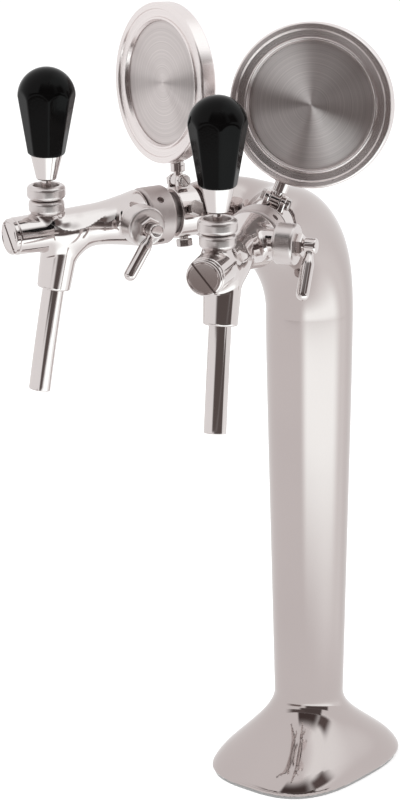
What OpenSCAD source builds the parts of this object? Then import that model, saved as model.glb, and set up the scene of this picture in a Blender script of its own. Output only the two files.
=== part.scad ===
// Double tap beer tower: a chrome swan-neck column that carries two compensator taps and two round badges.
// Millimetres. The origin is on the column's axis at the counter, +Z is up and the tower's front is -Y.

/* [Foot] */
// Width of the foot, side to side
foot_w = 93.5; // [84:0.5:110]
// Reach of the foot in front of the column's axis
foot_front = 62.5; // [56:0.5:75]
// Reach of the foot behind the column's axis
foot_back = 57; // [52:0.5:75]
// Squareness of the foot's plan, 2 is an ellipse
foot_power = 2.85; // [2:0.05:4]
// Height of the flare from the foot to the column
foot_h = 46; // [38:1:60]
// Thickness of the rubber gasket under the foot
gasket_t = 1.5; // [1:0.1:3]
// How far the gasket lies inside the foot's edge
gasket_inset = 2; // [1:0.1:3]
// Thickness of the steel plate inside the foot
plate_t = 8; // [5:0.5:10]
// Tapping diameter of the mounting holes (M8)
bolt_d = 6.8; // [5:0.1:8.5]
// Mounting hole spacing, side to side
bolt_dx = 44; // [36:1:48]
// Mounting hole spacing, front to back
bolt_dy = 60; // [50:1:66]
// Diameter of the hole for the beer lines
passage_d = 36; // [35.5:0.5:40]

/* [Column and neck] */
// Column diameter at the top of the flare
column_d_low = 41.5; // [40:0.5:46]
// Column diameter where the neck starts
column_d_top = 51; // [48:0.5:56]
// Wall of the shell
wall = 3; // [2.5:0.1:3.5]
// Height of the tap axes above the counter
axis_h = 355; // [330:1:400]
// Horizontal reach of each neck arm from the column's axis
neck_reach = 76; // [70:0.5:90]
// Height that each neck arm climbs
neck_rise = 70; // [62:0.5:80]
// Diameter of a neck arm at its end
neck_end_d = 30; // [29:0.5:34]
// Angle of each tap to the tower's front
splay = 21; // [18:0.5:30]

/* [Shank and coupling] */
// Outside diameter of the threaded shank
shank_d = 22.8; // [20:0.2:23.4]
// Outside diameter of a beer line
line_d = 8; // [6:0.1:8.4]
// Bend radius of a beer line
line_bend_r = 40; // [34:0.5:42]
// Distance of a beer line from the column's axis
line_offset = 13; // [12.6:0.1:13.2]
// Diameter of the coupling nut
nut_d = 33; // [30:0.5:36]
// Length of the coupling nut
nut_len = 15.5; // [14:0.5:24]
// Thickness of the sealing washer
washer_t = 2; // [1.5:0.1:3]

/* [Badge] */
// Diameter of a badge
badge_d = 90; // [80:0.5:96]
// Thickness of a badge
badge_t = 9.5; // [8.5:0.1:12]
// Diameter of the brushed disc
disc_d = 69; // [60:0.5:72]
// Thickness of the brushed disc
disc_t = 1.2; // [0.8:0.1:1.8]
// Outside diameter of the bracket ring
bracket_d = 29; // [28:0.2:31]
// Width of the bracket ring along the shank
bracket_w = 13; // [11:0.5:16]
// Distance from the tap's axis to the badge pivot
pivot_r = 17.5; // [17:0.1:20]
// Height of the left badge's centre above its pivot
badge_up_left = 55; // [53:0.5:66]
// Height of the right badge's centre above its pivot
badge_up_right = 56.5; // [53:0.5:66]
// Sideways lean of the left bracket
roll_left = -10; // [-25:1:10]
// Sideways lean of the right bracket
roll_right = 20; // [-10:1:25]
// Backward lean of the left badge
lean_left = 3.5; // [0:0.5:12]
// Backward lean of the right badge
lean_right = 9.5; // [0:0.5:12]
// Turn of the left badge on its stem
turn_left = 4.5; // [-12:0.5:12]
// Turn of the right badge on its stem
turn_right = 0.5; // [-12:0.5:12]

/* [Tap body] */
// Diameter of the compensator housing at its back
housing_d = 32; // [29:0.5:34]
// Length of the housing's straight part
housing_len = 1.5; // [1.5:0.5:6]
// Length of the housing's taper
taper_len = 26; // [22:0.5:30]
// Diameter of the body where the housing's taper ends
waist_d = 23.6; // [22:0.2:25]
// Diameter of the front barrel
barrel_d = 21; // [19:0.2:21.8]
// Distance from the housing's back to the handle's axis
handle_set = 57.5; // [54:0.5:60]
// Barrel length in front of the handle's axis
barrel_over = 21; // [18:0.5:24]
// Bore of the flow chamber in the housing
chamber_d = 15.6; // [15:0.1:16]
// Bore of the barrel
bore_d = 14; // [13.6:0.1:14.4]
// Bore of the valve seat
seat_d = 10.4; // [9:0.1:11]

/* [Spout] */
// Forward tilt of the spout and its socket
spout_tilt = 11.2; // [8:0.2:15]
// Length of the socket from the tap's axis
socket_len = 33.5; // [30:0.5:38]
// Diameter of the socket's end
socket_d = 17; // [16:0.2:19]
// Diameter of the spout tube
spout_d = 12.2; // [11:0.1:13]
// Wall of the spout tube
spout_wall = 1.1; // [0.8:0.1:1.5]
// Length of the spout below its socket
spout_len = 58; // [40:0.5:75]

/* [Handle] */
// Diameter of the bonnet
bonnet_d = 19.8; // [19.2:0.2:21]
// Diameter of the lever nut on the bonnet
lever_nut_d = 21.4; // [20.6:0.2:23]
// Height of the bonnet, and of the lever nut
bonnet_h = 7.7; // [7.2:0.1:8.4]
// Height of the handle's ball above the tap's axis
ball_h = 18.6; // [18.2:0.1:19.4]
// Diameter of the handle's ball
ball_d = 11.6; // [11:0.1:11.8]
// Diameter of the handle's stem
stem_d = 5.2; // [4.6:0.1:5.4]
// Diameter of the lever tail inside the tap
tail_d = 4.4; // [4:0.1:4.6]
// Ferrule diameter at its foot
ferrule_d_low = 11.6; // [11:0.2:13]
// Ferrule diameter at its top
ferrule_d_top = 17.6; // [17:0.2:19.6]
// Height of the ferrule
ferrule_h = 14; // [11:0.5:16]
// Largest diameter of the grip
grip_d = 31.8; // [28:0.2:34]
// Diameter of the grip's foot
grip_d_low = 20.4; // [20:0.2:22]
// Height of the grip
grip_h = 48.2; // [44:0.1:60]
// Number of flats on the grip
grip_flats = 8; // [5:1:10]
// Backward lean of a handle at rest
handle_lean = 1.7; // [0:0.1:3]

/* [Compensator] */
// Diameter of the compensator's drum
boss_d = 22.6; // [21:0.2:24]
// Diameter of the neck that carries the drum
boss_neck_d = 16; // [15:0.2:18]
// Distance of the drum's inner face from the tap's axis
boss_in = 18; // [17:0.5:20]
// Reach of the drum from the tap's axis
boss_reach = 29.5; // [28:0.5:34]
// Height of the compensator shaft above the tap's axis
comp_up = 2.2; // [1:0.1:3.8]
// Diameter of the compensator shaft
comp_shaft_d = 6; // [5:0.1:6.4]
// Diameter of the hub on the shaft
hub_d = 8.4; // [8:0.2:11]
// Length of the hub
hub_len = 7; // [6.5:0.5:10]
// Diameter of the compensator lever's root in the hub
lever_root_d = 4.4; // [4:0.1:5]
// Diameter of the compensator lever
lever_d = 7; // [6:0.1:8]
// Length of the compensator lever from the hub's axis
lever_len = 31; // [26:0.5:36]
// Forward lean of the compensator lever
lever_lean = 34; // [0:1:45]
// Throw of the eccentric pin
comp_throw = 3.8; // [3.4:0.1:3.9]

/* [Clearances] */
// Radial clearance of fitted pieces
fit = 0.05; // [0.03:0.01:0.1]
// Gap between pieces that move past each other
gap = 0.3; // [0.25:0.05:0.4]

/* [Hidden] */

left = -1;
right = 1;
$fn = 48;

chrome = [0.80, 0.78, 0.78];
steel = [0.62, 0.60, 0.60];
brass = [0.78, 0.64, 0.32];
rubber = [0.10, 0.10, 0.10];
black = [0.03, 0.03, 0.035];
brushed = [0.55, 0.52, 0.52];

// Foot and column
flare_ease = 0.9;
foot_half = foot_w / 2;
foot_half_y = (foot_front + foot_back) / 2;
foot_mid_y = (foot_back - foot_front) / 2;
bend_h = axis_h - neck_rise;
neck_taper = 2.5;
flare_wall = wall * 1.25;
shell_sides = 32;
core_sides = 20;
joint_lap = 6;
joint_step = 1.2;
plate_h = gasket_t + plate_t;

// Along a tap, measured out from the column's axis
boss_depth = 18;
shank_back = neck_reach - boss_depth;
line_in = 10;
bracket_start = neck_reach + 2;
bracket_mid = bracket_start + bracket_w / 2;
thread_show = 4.5;
nut_start = bracket_start + bracket_w + thread_show;
nut_end = nut_start + nut_len;
nut_lip_t = 2.6;
nut_lip = nut_end - nut_lip_t;
tail_collar_t = 3.2;
tail_collar_d = shank_d - 0.4;
tail_neck_d = tail_collar_d - 3.6;
tail_start = nut_lip - tail_collar_t - 0.2;
shank_front = tail_start - washer_t;
housing_start = nut_end + 0.5;
housing_edge = 1.2;
comp_at = housing_start + 10.5;
taper_curve = 1.4;
handle_at = housing_start + handle_set;
barrel_end = handle_at + barrel_over;
barrel_even = handle_at - bonnet_d / 2 - 0.5;
seat_at = handle_at - 17;
seal_t = 3.4;
plug_head = 2.5;
plug_in = 6;
plug_slot = 1.6;
plug_d = barrel_d - 1;

// Badge
eye_r = 4;
eye_w = 6;
ear_t = 3;
pivot_screw_d = 4;
neck_pin_d = 5.2;
neck_collar_d = 8.4;
tab_t = 3;
tab_w = 9;
tab_lap = 18;
disc_seat = badge_t - 4.5;
bracket_screw_d = 5;
bracket_screw_turns = [180, 82];

// Handle and valve
bonnet_base = barrel_d / 2 + 0.1;
lever_nut_base = bonnet_base + bonnet_h + 0.4;
lever_nut_top = lever_nut_base + bonnet_h;
bonnet_round = 2.4;
ball_r = ball_d / 2;
ball_seat_r = ball_r + gap;
seat_drop = 3.5;
seat_lip_r = sqrt(pow(ball_seat_r, 2) - pow(seat_drop, 2));
ferrule_base = lever_nut_top + 3;
grip_base = ferrule_base + ferrule_h;
stem_top = grip_base + 10;
handle_swing = 25;
neck_boss_d = 17.2;
neck_boss_bore = 14.4;
piston_d = bore_d - 2 * fit;
piston_rod_d = 5.6;
piston_back = 4.5;
piston_front = 11;
piston_nut_d = 9;
piston_nut_t = 3.3;
slot_back = tail_d / 2 + 0.9;
slot_front = 5.4;
slot_w = tail_d + 0.8;
piston_travel = ball_h * tan(handle_swing);
seat_len = handle_at - piston_back - piston_travel - gap - seat_at;
tail_lean = ball_h * tan(handle_lean);

// Spout
socket_root_d = 20.4;
socket_foot = 9.5;
socket_bore = spout_d - 2 * spout_wall + 0.6;
spout_in = 12;

// Compensator
gland_d = 13;
gland_head = 3.5;
gland_spigot_d = 10;
gland_spigot = 7.5;
seal_ring_t = 2.5;
pin_d = 3;
disc_r = comp_throw + pin_d / 2 + gap;
disc_in = chamber_d / 2 + 0.2;
disc_h = 2.2;
pin_reach = 2.6;
groove_w = 4;
cone_d = chamber_d - 1.2;
cone_back = 13;
cone_front = 4;
cone_tip_d = 9;
hub_start = boss_reach + gland_head + 0.5;
lever_root = 1.3;
lever_swell = 11;

function side_pick(side, a, b) = side < 0 ? a : b;
function mix(a, b, t) = a + (b - a) * t;
function sgn_pow(v, p) = sign(v) * pow(abs(v), p);
function arc(cx, cy, r, a0, a1, n = 6) =
    [for (i = [0:n]) [cx + r * cos(mix(a0, a1, i / n)), cy + r * sin(mix(a0, a1, i / n))]];

// Share of the foot's plan at a height, 1 at the counter and 0 at the column
function flare(z) = z >= foot_h ? 0 : (1 + cos(180 * pow(max(z, 0) / foot_h, flare_ease))) / 2;
function column_r(z) = mix(column_d_low, column_d_top, (z - foot_h) / (bend_h - foot_h)) / 2;
function plan_ring(z, inset, sides) =
    let (
        f = flare(z),
        a = mix(column_r(z), foot_half, f) - inset,
        b = mix(column_r(z), foot_half_y, f) - inset,
        p = 2 / mix(2, foot_power, min(1, 1.3 * f))
    )
    [for (i = [0:sides - 1]) let (t = 360 * i / sides)
        [a * sgn_pow(cos(t), p), b * sgn_pow(sin(t), p) + foot_mid_y * f, z]];
function plan_outline(z, inset, sides) = [for (q = plan_ring(z, inset, sides)) [q[0], q[1]]];

// A neck arm's circle, s runs from 0 at the column to 1 at the arm's end
function neck_r(s) = mix(column_d_top, neck_end_d, pow(s, neck_taper)) / 2;
function neck_ring(s, inset, sides) =
    let (
        a = 90 * s,
        out = neck_reach * (1 - cos(a)),
        up = bend_h + neck_rise * sin(a),
        tilt = atan2(neck_reach * sin(a), neck_rise * cos(a)),
        r = neck_r(s) - inset
    )
    [for (i = [0:sides - 1]) let (t = 360 * i / sides)
        [r * cos(t), -out + r * sin(t) * cos(tilt), up + r * sin(t) * sin(tilt)]];
function level_ring(z, r, sides) =
    [for (i = [0:sides - 1]) let (t = 360 * i / sides) [r * cos(t), r * sin(t), z]];

module loft(rings) {
    n = len(rings[0]);
    m = len(rings);
    sides = [for (k = [0:m - 2]) for (i = [0:n - 1]) let (j = (i + 1) % n)
        each [[k * n + i, (k + 1) * n + i, k * n + j], [k * n + j, (k + 1) * n + i, (k + 1) * n + j]]];
    foot_cap = [for (i = [0:n - 1]) i];
    head_cap = [for (i = [0:n - 1]) (m - 1) * n + n - 1 - i];
    polyhedron(points = [for (r = rings) each r], faces = concat([foot_cap], sides, [head_cap]));
}

// Foot and column in one skin, from the counter to just above the bend
module trunk(inset, foot_inset, sides, foot_z) {
    steps = 12;
    flare_rings = [for (i = [0:steps]) let (z = mix(foot_z, foot_h, i / steps))
        plan_ring(z, mix(inset, foot_inset, flare(z)), sides)];
    loft(concat(flare_rings, [
        level_ring(bend_h, column_d_top / 2 - inset, sides),
        level_ring(bend_h + joint_lap, column_d_top / 2 - inset - joint_step, sides)
    ]));
}

module neck_arm(side, inset, sides, s_end) {
    steps = 9;
    start = level_ring(bend_h - joint_lap, column_d_top / 2 - inset - joint_step, sides);
    rings = [for (i = [0:steps]) neck_ring(s_end * i / steps, inset + (i == 0 ? 0.15 : 0), sides)];
    rotate([0, 0, side * splay]) loft(concat([start], rings));
}

// Local frame of a tap: origin on the column's axis at the tap's height, -Y runs out along the tap
module at_tap(side) translate([0, 0, axis_h]) rotate([0, 0, side * splay]) children();
// Turns a shape drawn along +Z so that it runs out along the tap
module out(d) translate([0, -d, 0]) rotate([90, 0, 0]) children();
// Turns a shape drawn along +Z so that it runs out to the tap's right-hand side
module across(x) translate([x, 0, 0]) rotate([0, 90, 0]) children();
module turned(profile) rotate_extrude() polygon(profile);
module rounded_disc(r, h, f) {
    turned(concat([[0, 0]], arc(r - f, f, f, -90, 0), arc(r - f, h - f, f, 0, 90), [[0, h]]));
}
module tube(h, d_out, d_in) {
    difference() {
        cylinder(h = h, d = d_out);
        translate([0, 0, -1]) cylinder(h = h + 2, d = d_in);
    }
}

module tower_column() {
    s_core = acos(1 - shank_back / neck_reach) / 90;
    color(chrome) difference() {
        union() {
            trunk(0, 0, shell_sides, gasket_t);
            neck_arm(left, 0, shell_sides, 1);
            neck_arm(right, 0, shell_sides, 1);
        }
        union() {
            trunk(wall, flare_wall, core_sides, gasket_t - 0.01);
            neck_arm(left, wall, core_sides, s_core);
            neck_arm(right, wall, core_sides, s_core);
        }
        for (side = [left, right])
            at_tap(side) out(shank_back - 8) cylinder(h = boss_depth + 10, d = shank_d + 2 * fit);
    }
}

module base_gasket() {
    color(rubber) difference() {
        linear_extrude(gasket_t) polygon(plan_outline(gasket_t, gasket_inset, 64));
        translate([0, 0, -1]) cylinder(h = gasket_t + 2, d = passage_d);
        bolt_holes(bolt_d);
    }
}

module base_plate() {
    color(steel) translate([0, 0, gasket_t]) difference() {
        linear_extrude(plate_t) polygon(plan_outline(plate_h, flare_wall + 1, 64));
        translate([0, 0, -1]) cylinder(h = plate_t + 2, d = passage_d);
        bolt_holes(bolt_d);
    }
}

module bolt_holes(d) {
    for (x = [-1, 1], y = [-1, 1])
        translate([x * bolt_dx / 2, y * bolt_dy / 2, -1]) cylinder(h = plate_h + 2, d = d);
}

// Steel tube from the shank, round the neck and down the column
module beer_line(side) {
    line_end = gasket_t + 1;
    bore = line_d - 1.6;
    bend_at = line_offset + line_bend_r;
    color(steel) at_tap(side) {
        out(bend_at) tube(shank_back + line_in - bend_at, line_d, bore);
        translate([0, -bend_at, -line_bend_r]) rotate([0, -90, 0]) rotate_extrude(angle = 90)
            translate([line_bend_r, 0]) difference() {
                circle(d = line_d);
                circle(d = bore);
            }
        translate([0, -line_offset, line_end - axis_h]) tube(axis_h - line_bend_r - line_end, line_d, bore);
    }
}

module shank(side) {
    length = shank_front - shank_back;
    r = shank_d / 2;
    bevel = 1;
    color(chrome) at_tap(side) out(shank_back) difference() {
        turned([[0, 0], [r, 0], [r, length - bevel], [r - bevel, length], [0, length]]);
        translate([0, 0, -1]) cylinder(h = length + 2, d = line_d + 2 * fit);
    }
}

module coupling_nut(side) {
    hole_d = 4;
    color(chrome) at_tap(side) out(nut_start) difference() {
        rounded_disc(nut_d / 2, nut_len, 1.8);
        translate([0, 0, -1]) cylinder(h = nut_lip - nut_start + 1, d = shank_d + 2 * fit);
        cylinder(h = nut_len + 1, d = tail_neck_d + 2 * fit);
        for (a = [45:90:315])
            rotate([0, 0, a]) translate([0, 0, nut_len * 0.55])
                across(nut_d / 2 - 2.5) cylinder(h = 4, d = hole_d);
    }
}

module tail_washer(side) {
    color(rubber) at_tap(side) out(shank_front) tube(washer_t, shank_d - 1.2, line_d + 1);
}

// Frame of a badge pivot: origin on the pivot, Z up along the badge's stem
module at_pivot(side) {
    roll = side_pick(side, roll_left, roll_right);
    at_tap(side) translate([0, -bracket_mid, 0]) rotate([0, roll, 0]) translate([0, 0, pivot_r]) children();
}

module at_badge(side) {
    lean = side_pick(side, lean_left, lean_right);
    at_pivot(side) rotate([-lean, 0, 0]) children();
}

module on_stem(side) {
    turn = side_pick(side, turn_left, turn_right);
    at_badge(side) rotate([0, 0, turn]) children();
}

module badge_bracket(side) {
    ear_x = eye_w / 2 + gap;
    hole_x = ear_x + ear_t + 1;
    color(chrome) difference() {
        union() {
            at_tap(side) out(bracket_start) cylinder(h = bracket_w, d = bracket_d);
            at_pivot(side) for (x = [-ear_x - ear_t, ear_x]) {
                across(x) cylinder(h = ear_t, r = eye_r);
                translate([x, -eye_r, -pivot_r / 2]) cube([ear_t, 2 * eye_r, pivot_r / 2]);
            }
        }
        at_tap(side) out(bracket_start - 1) cylinder(h = bracket_w + 2, d = shank_d + 2 * fit);
        at_pivot(side) across(-hole_x) cylinder(h = 2 * hole_x, d = pivot_screw_d + 2 * fit);
        at_bracket_screws(side) translate([0, 0, -1]) cylinder(h = 10, d = bracket_screw_d + 2 * fit);
        at_pivot(side) translate([0, 0, -gap]) across(-ear_x) cylinder(h = 2 * ear_x, r = eye_r + gap);
    }
}

// The bracket's two fixing screws, one below the shank and one on its right-hand side
module at_bracket_screws(side) {
    roll = side_pick(side, roll_left, roll_right);
    at_tap(side) translate([0, -bracket_mid, 0])
        for (a = bracket_screw_turns) rotate([0, roll + a, 0]) translate([0, 0, shank_d / 2]) children();
}

module bracket_screws(side) {
    ring_t = (bracket_d - shank_d) / 2;
    color(chrome) at_bracket_screws(side) {
        translate([0, 0, fit]) cylinder(h = ring_t + 1, d = bracket_screw_d);
        translate([0, 0, ring_t + 0.9]) cylinder(h = 4.5, d = bracket_screw_d + 4, $fn = 6);
    }
}

module badge_pivot_screw(side) {
    ear_out = eye_w / 2 + gap + ear_t;
    head_t = 2.2;
    color(chrome) at_pivot(side) {
        across(-ear_out - 1) cylinder(h = 2 * ear_out + 1, d = pivot_screw_d);
        across(ear_out) difference() {
            cylinder(h = head_t, d = pivot_screw_d + 3);
            translate([-pivot_screw_d, -0.5, head_t - 0.9]) cube([2 * pivot_screw_d, 1, 2]);
        }
        across(-ear_out - 2.4) cylinder(h = 2.4, d = pivot_screw_d + 3, $fn = 6);
    }
}

module badge_stem(side) {
    rise = side_pick(side, badge_up_left, badge_up_right) - badge_d / 2;
    collar_z = eye_r + 1;
    collar_h = rise - fit - collar_z;
    color(chrome) difference() {
        union() {
            at_badge(side) across(-eye_w / 2) cylinder(h = eye_w, r = eye_r - gap);
            at_badge(side) cylinder(h = collar_z + collar_h / 3, d = neck_pin_d);
            at_badge(side) translate([0, 0, collar_z]) cylinder(h = collar_h, d = neck_collar_d);
            on_stem(side) translate([-tab_w / 2, -tab_t / 2, rise - 2]) cube([tab_w, tab_t, tab_lap]);
        }
        at_badge(side) across(-eye_w) cylinder(h = 2 * eye_w, d = pivot_screw_d + 4 * fit);
        at_badge_screws(side) translate([0, 0, -tab_t]) cylinder(h = 3 * tab_t, d = 3 + 2 * fit);
    }
}

// Screws through the stem's tab into the badge's back
module at_badge_screws(side) {
    rise = side_pick(side, badge_up_left, badge_up_right) - badge_d / 2;
    on_stem(side) for (z = [6, 13]) translate([0, -tab_t / 2, rise + z]) rotate([90, 0, 0]) children();
}

module badge_screws(side) {
    color(steel) at_badge_screws(side) {
        translate([0, 0, -tab_t - 1.5]) cylinder(h = 1.5, d = 5.2);
        translate([0, 0, -tab_t - 0.1]) cylinder(h = tab_t + 2.6, d = 3);
    }
}

// Frame of a badge's disc: origin at the centre of its back face, Z out through its front
module at_disc(side) {
    up = side_pick(side, badge_up_left, badge_up_right);
    on_stem(side) translate([0, -tab_t / 2, up]) rotate([90, 0, 0]) children();
}

module badge_frame(side) {
    r = badge_d / 2;
    inner = disc_d / 2;
    step = badge_t - 1.2;
    profile = concat(
        [[0, 0]],
        arc(r - 1.5, 1.5, 1.5, -90, 0, 4),
        arc(r - 1.2, badge_t - 1.2, 1.2, 0, 90, 4),
        [[r - 3.6, badge_t], [r - 4.2, step], [inner + 2.4, step - 0.4], [inner + 1.6, step + 0.3]],
        [[inner + 0.9, step + 0.3], [inner + fit, step - 0.9], [inner + fit, disc_seat], [0, disc_seat]]
    );
    color(chrome) difference() {
        at_disc(side) turned(profile);
        at_badge_screws(side) cylinder(h = 2.8, d = 3 + 2 * fit);
    }
}

module badge_disc(side) {
    color(brushed) at_disc(side) translate([0, 0, disc_seat]) cylinder(h = disc_t, d = disc_d);
}

// Frame of the spout socket: origin on the tap's axis, Z runs down the socket
module at_socket(side) {
    at_tap(side) translate([0, -(handle_at - socket_foot), 0]) rotate([180 - spout_tilt, 0, 0]) children();
}

module at_comp(side) at_tap(side) translate([0, -comp_at, comp_up]) children();

// Outline of the tap body from the housing's back: a hollow taper, a slimmer waist and the even front barrel
function body_profile() =
    let (r = housing_d / 2, waist = waist_d / 2, length = barrel_end - housing_start, steps = 8)
    concat(
        [[0, 0]], arc(r - housing_edge, housing_edge, housing_edge, -90, 0, 5),
        [for (i = [0:steps]) let (s = i / steps)
            [mix(waist, r, pow(1 - s, taper_curve)), housing_len + taper_len * s]],
        [[barrel_d / 2, barrel_even - housing_start], [barrel_d / 2, length], [0, length]]
    );

// Drum for the flow lever, carried by a neck out of the housing's side
module side_boss() {
    r = boss_d / 2;
    f = 0.8;
    length = boss_reach - boss_in;
    across(0) cylinder(h = boss_in + 1, d = boss_neck_d);
    across(boss_in) turned([[0, 0], [r - f, 0], [r, f], [r, length - f], [r - f, length], [0, length]]);
}

module tap_body(side) {
    color(chrome) difference() {
        union() {
            at_tap(side) {
                out(tail_start) cylinder(h = tail_collar_t, d = tail_collar_d);
                out(tail_start) cylinder(h = housing_start - tail_start + 1, d = tail_neck_d);
                out(housing_start) turned(body_profile());
                translate([0, -handle_at, 0]) cylinder(h = bonnet_base, d = neck_boss_d);
            }
            at_socket(side) cylinder(h = socket_len, d1 = socket_root_d, d2 = socket_d);
            at_comp(side) side_boss();
        }
        at_tap(side) {
            out(tail_start - 1) cylinder(h = seat_at - tail_start + 1, d = chamber_d);
            out(seat_at - 1) cylinder(h = seat_len + 2, d = seat_d);
            out(seat_at + seat_len) cylinder(h = barrel_end - seat_at, d = bore_d);
            translate([0, -handle_at, bonnet_base - 2.2]) cylinder(h = 4, d = neck_boss_bore);
            tail_slot(bonnet_base - 1);
        }
        at_socket(side) {
            cylinder(h = socket_len + 1, d = socket_bore);
            translate([0, 0, socket_len - spout_in]) cylinder(h = spout_in + 1, d = spout_d + 2 * fit);
        }
        at_comp(side) {
            across(disc_in - pin_reach - gap) cylinder(h = pin_reach + disc_h + 2 * gap, r = disc_r + gap);
            across(0) cylinder(h = boss_reach + 1, d = comp_shaft_d + 2 * fit);
            across(gland_in()) cylinder(h = boss_reach, d = gland_spigot_d + 2 * fit);
        }
    }
}

function gland_in() = boss_reach - gland_spigot - seal_ring_t - 0.5;

// Slot that lets the lever's tail swing back through the barrel's top
module tail_slot(top) {
    swing_back = (ball_h - bore_d / 2) * tan(handle_swing) + tail_d / 2 / cos(handle_swing) + gap;
    w = tail_d + 2 * gap + 0.2;
    front = w / 2 + tail_lean;
    translate([-w / 2, -handle_at - front, 0]) cube([w, front + swing_back, top]);
}

module barrel_plug(side) {
    r = plug_d / 2;
    f = 0.9;
    color(chrome) at_tap(side) out(barrel_end - plug_in) difference() {
        union() {
            cylinder(h = plug_in, d = bore_d - 2 * fit);
            translate([0, 0, plug_in])
                turned(concat([[0, 0], [r, 0]], arc(r - f, plug_head - f, f, 0, 90, 4), [[0, plug_head]]));
        }
        rotate([0, 0, -50]) translate([-r - 1, -plug_slot / 2, plug_in + plug_head - 1.2])
            cube([2 * r + 2, plug_slot, 2]);
    }
}

// A round ring with rounded edges, drawn up from the handle's axis
module rounded_ring(side, base, d) {
    at_tap(side) translate([0, -handle_at, base]) rounded_disc(d / 2, bonnet_h, bonnet_round);
}

module at_ball(side) at_tap(side) translate([0, -handle_at, ball_h]) children();
// Frame of a handle: origin at the ball's centre, Z up along the leaning lever
module at_handle(side) at_ball(side) rotate([-handle_lean, 0, 0]) children();

module bonnet(side) {
    drop = ball_h - bonnet_base;
    mouth = (drop * tan(handle_swing) + tail_d / 2 / cos(handle_swing)) * 2 + 2 * gap;
    color(chrome) difference() {
        rounded_ring(side, bonnet_base, bonnet_d);
        at_ball(side) sphere(r = ball_seat_r);
        at_ball(side) translate([0, 0, -drop - 0.01])
            cylinder(h = drop - seat_drop + 0.02, d1 = mouth, d2 = 2 * seat_lip_r);
    }
}

module lever_nut(side) {
    rise = lever_nut_top - ball_h;
    mouth = (rise * tan(handle_swing) + stem_d / 2 / cos(handle_swing)) * 2 + 3 * gap;
    color(chrome) difference() {
        rounded_ring(side, lever_nut_base, lever_nut_d);
        at_ball(side) sphere(r = ball_seat_r);
        at_ball(side) translate([0, 0, seat_drop - 0.01])
            cylinder(h = rise - seat_drop + 0.02, d1 = 2 * seat_lip_r, d2 = mouth);
    }
}

module handle_lever(side) {
    tip_r = tail_d / 2 + 0.3;
    color(steel) at_handle(side) {
        sphere(r = ball_r);
        cylinder(h = stem_top - ball_h, d = stem_d);
        translate([0, 0, -ball_h]) cylinder(h = ball_h, d = tail_d);
        translate([0, 0, -ball_h]) sphere(r = tip_r);
    }
}

module handle_ferrule(side) {
    r0 = ferrule_d_low / 2;
    r1 = ferrule_d_top / 2;
    bevel = 1.2;
    color(chrome) at_handle(side) translate([0, 0, ferrule_base - ball_h]) difference() {
        turned([[0, 0], [r0 - bevel, 0], [r0, bevel], [r1, ferrule_h], [0, ferrule_h]]);
        translate([0, 0, -1]) cylinder(h = ferrule_h + 2, d = stem_d + 2 * fit);
    }
}

module handle_grip(side) {
    r0 = grip_d_low / 2;
    r1 = grip_d / 2;
    dome_h = r1;
    side_h = grip_h - dome_h;
    slope = atan((r1 - r0) / side_h);
    flat_share = 0.93;
    color(black) at_handle(side) translate([0, 0, grip_base - ball_h]) difference() {
        turned(concat([[0, 0], [r0 - 0.8, 0], [r0, 0.8]], arc(0, side_h, r1, 0, 90, 10)));
        for (k = [0:grip_flats - 1]) rotate([0, 0, k * 360 / grip_flats])
            translate([r0 * flat_share, 0, 0]) rotate([0, slope, 0]) translate([0, -r1, -r1])
                cube([r1, 2 * r1, 3 * grip_h]);
        translate([0, 0, -1]) cylinder(h = stem_top - grip_base + 1.5, d = stem_d + 2 * fit);
    }
}

module valve_piston(side) {
    guide = piston_back + piston_front;
    seal_front = seat_at - gap;
    nut_back = seal_front - seal_t - piston_nut_t;
    color(brass) at_tap(side) difference() {
        union() {
            out(handle_at - piston_back) cylinder(h = guide, d = piston_d);
            out(nut_back) cylinder(h = handle_at - piston_back - nut_back + 1, d = piston_rod_d);
            out(nut_back) cylinder(h = piston_nut_t, d = piston_nut_d);
        }
        translate([-slot_w / 2, -handle_at - slot_front, -tail_d / 2 - 1.6])
            cube([slot_w, slot_front + slot_back, piston_d]);
    }
}

module valve_seal(side) {
    color(rubber) at_tap(side) out(seat_at - gap - seal_t)
        tube(seal_t, chamber_d - 1.2, piston_rod_d + 2 * fit);
}

module spout(side) {
    color(chrome) at_socket(side) translate([0, 0, socket_len - spout_in])
        tube(spout_in + spout_len, spout_d, spout_d - 2 * spout_wall);
}

module compensator_cone(side) {
    r = cone_d / 2;
    groove_r = disc_in - pin_reach - 0.4;
    color(brass) at_tap(side) out(comp_at - cone_back) difference() {
        turned([
            [0, 0], [r - 1, 0], [r, 1], [r, cone_back - groove_w / 2], [groove_r, cone_back - groove_w / 2],
            [groove_r, cone_back + groove_w / 2], [r, cone_back + groove_w / 2],
            [cone_tip_d / 2, cone_back + cone_front], [0, cone_back + cone_front]
        ]);
        translate([0, 0, -1]) cylinder(h = 4, d = 5);
    }
}

module compensator_shaft(side) {
    color(chrome) difference() {
        at_comp(side) {
            across(disc_in) cylinder(h = disc_h, r = disc_r);
            across(disc_in) cylinder(h = hub_start - disc_in + 1, d = comp_shaft_d);
            translate([disc_in - pin_reach, 0, -comp_throw])
                across(0) cylinder(h = pin_reach + 0.5, d = pin_d);
            across(hub_start) rounded_disc(hub_d / 2, hub_len, 1.2);
        }
        at_lever(side) translate([0, 0, -lever_root - fit]) cylinder(h = hub_d, d = lever_root_d + 2 * fit);
    }
}

// Frame of the compensator lever: origin on the hub's axis, Z runs down the lever
module at_lever(side) {
    at_comp(side) translate([hub_start + hub_len / 2, 0, 0]) rotate([180 - lever_lean, 0, 0]) children();
}

module compensator_lever(side) {
    r = lever_d / 2;
    root_r = lever_root_d / 2;
    root = [[0, -lever_root], [root_r, -lever_root], [root_r, hub_d / 2 + gap], [r, lever_swell]];
    color(chrome) at_lever(side) turned(concat(root, arc(0, lever_len - r, r, 0, 90, 6)));
}

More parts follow.
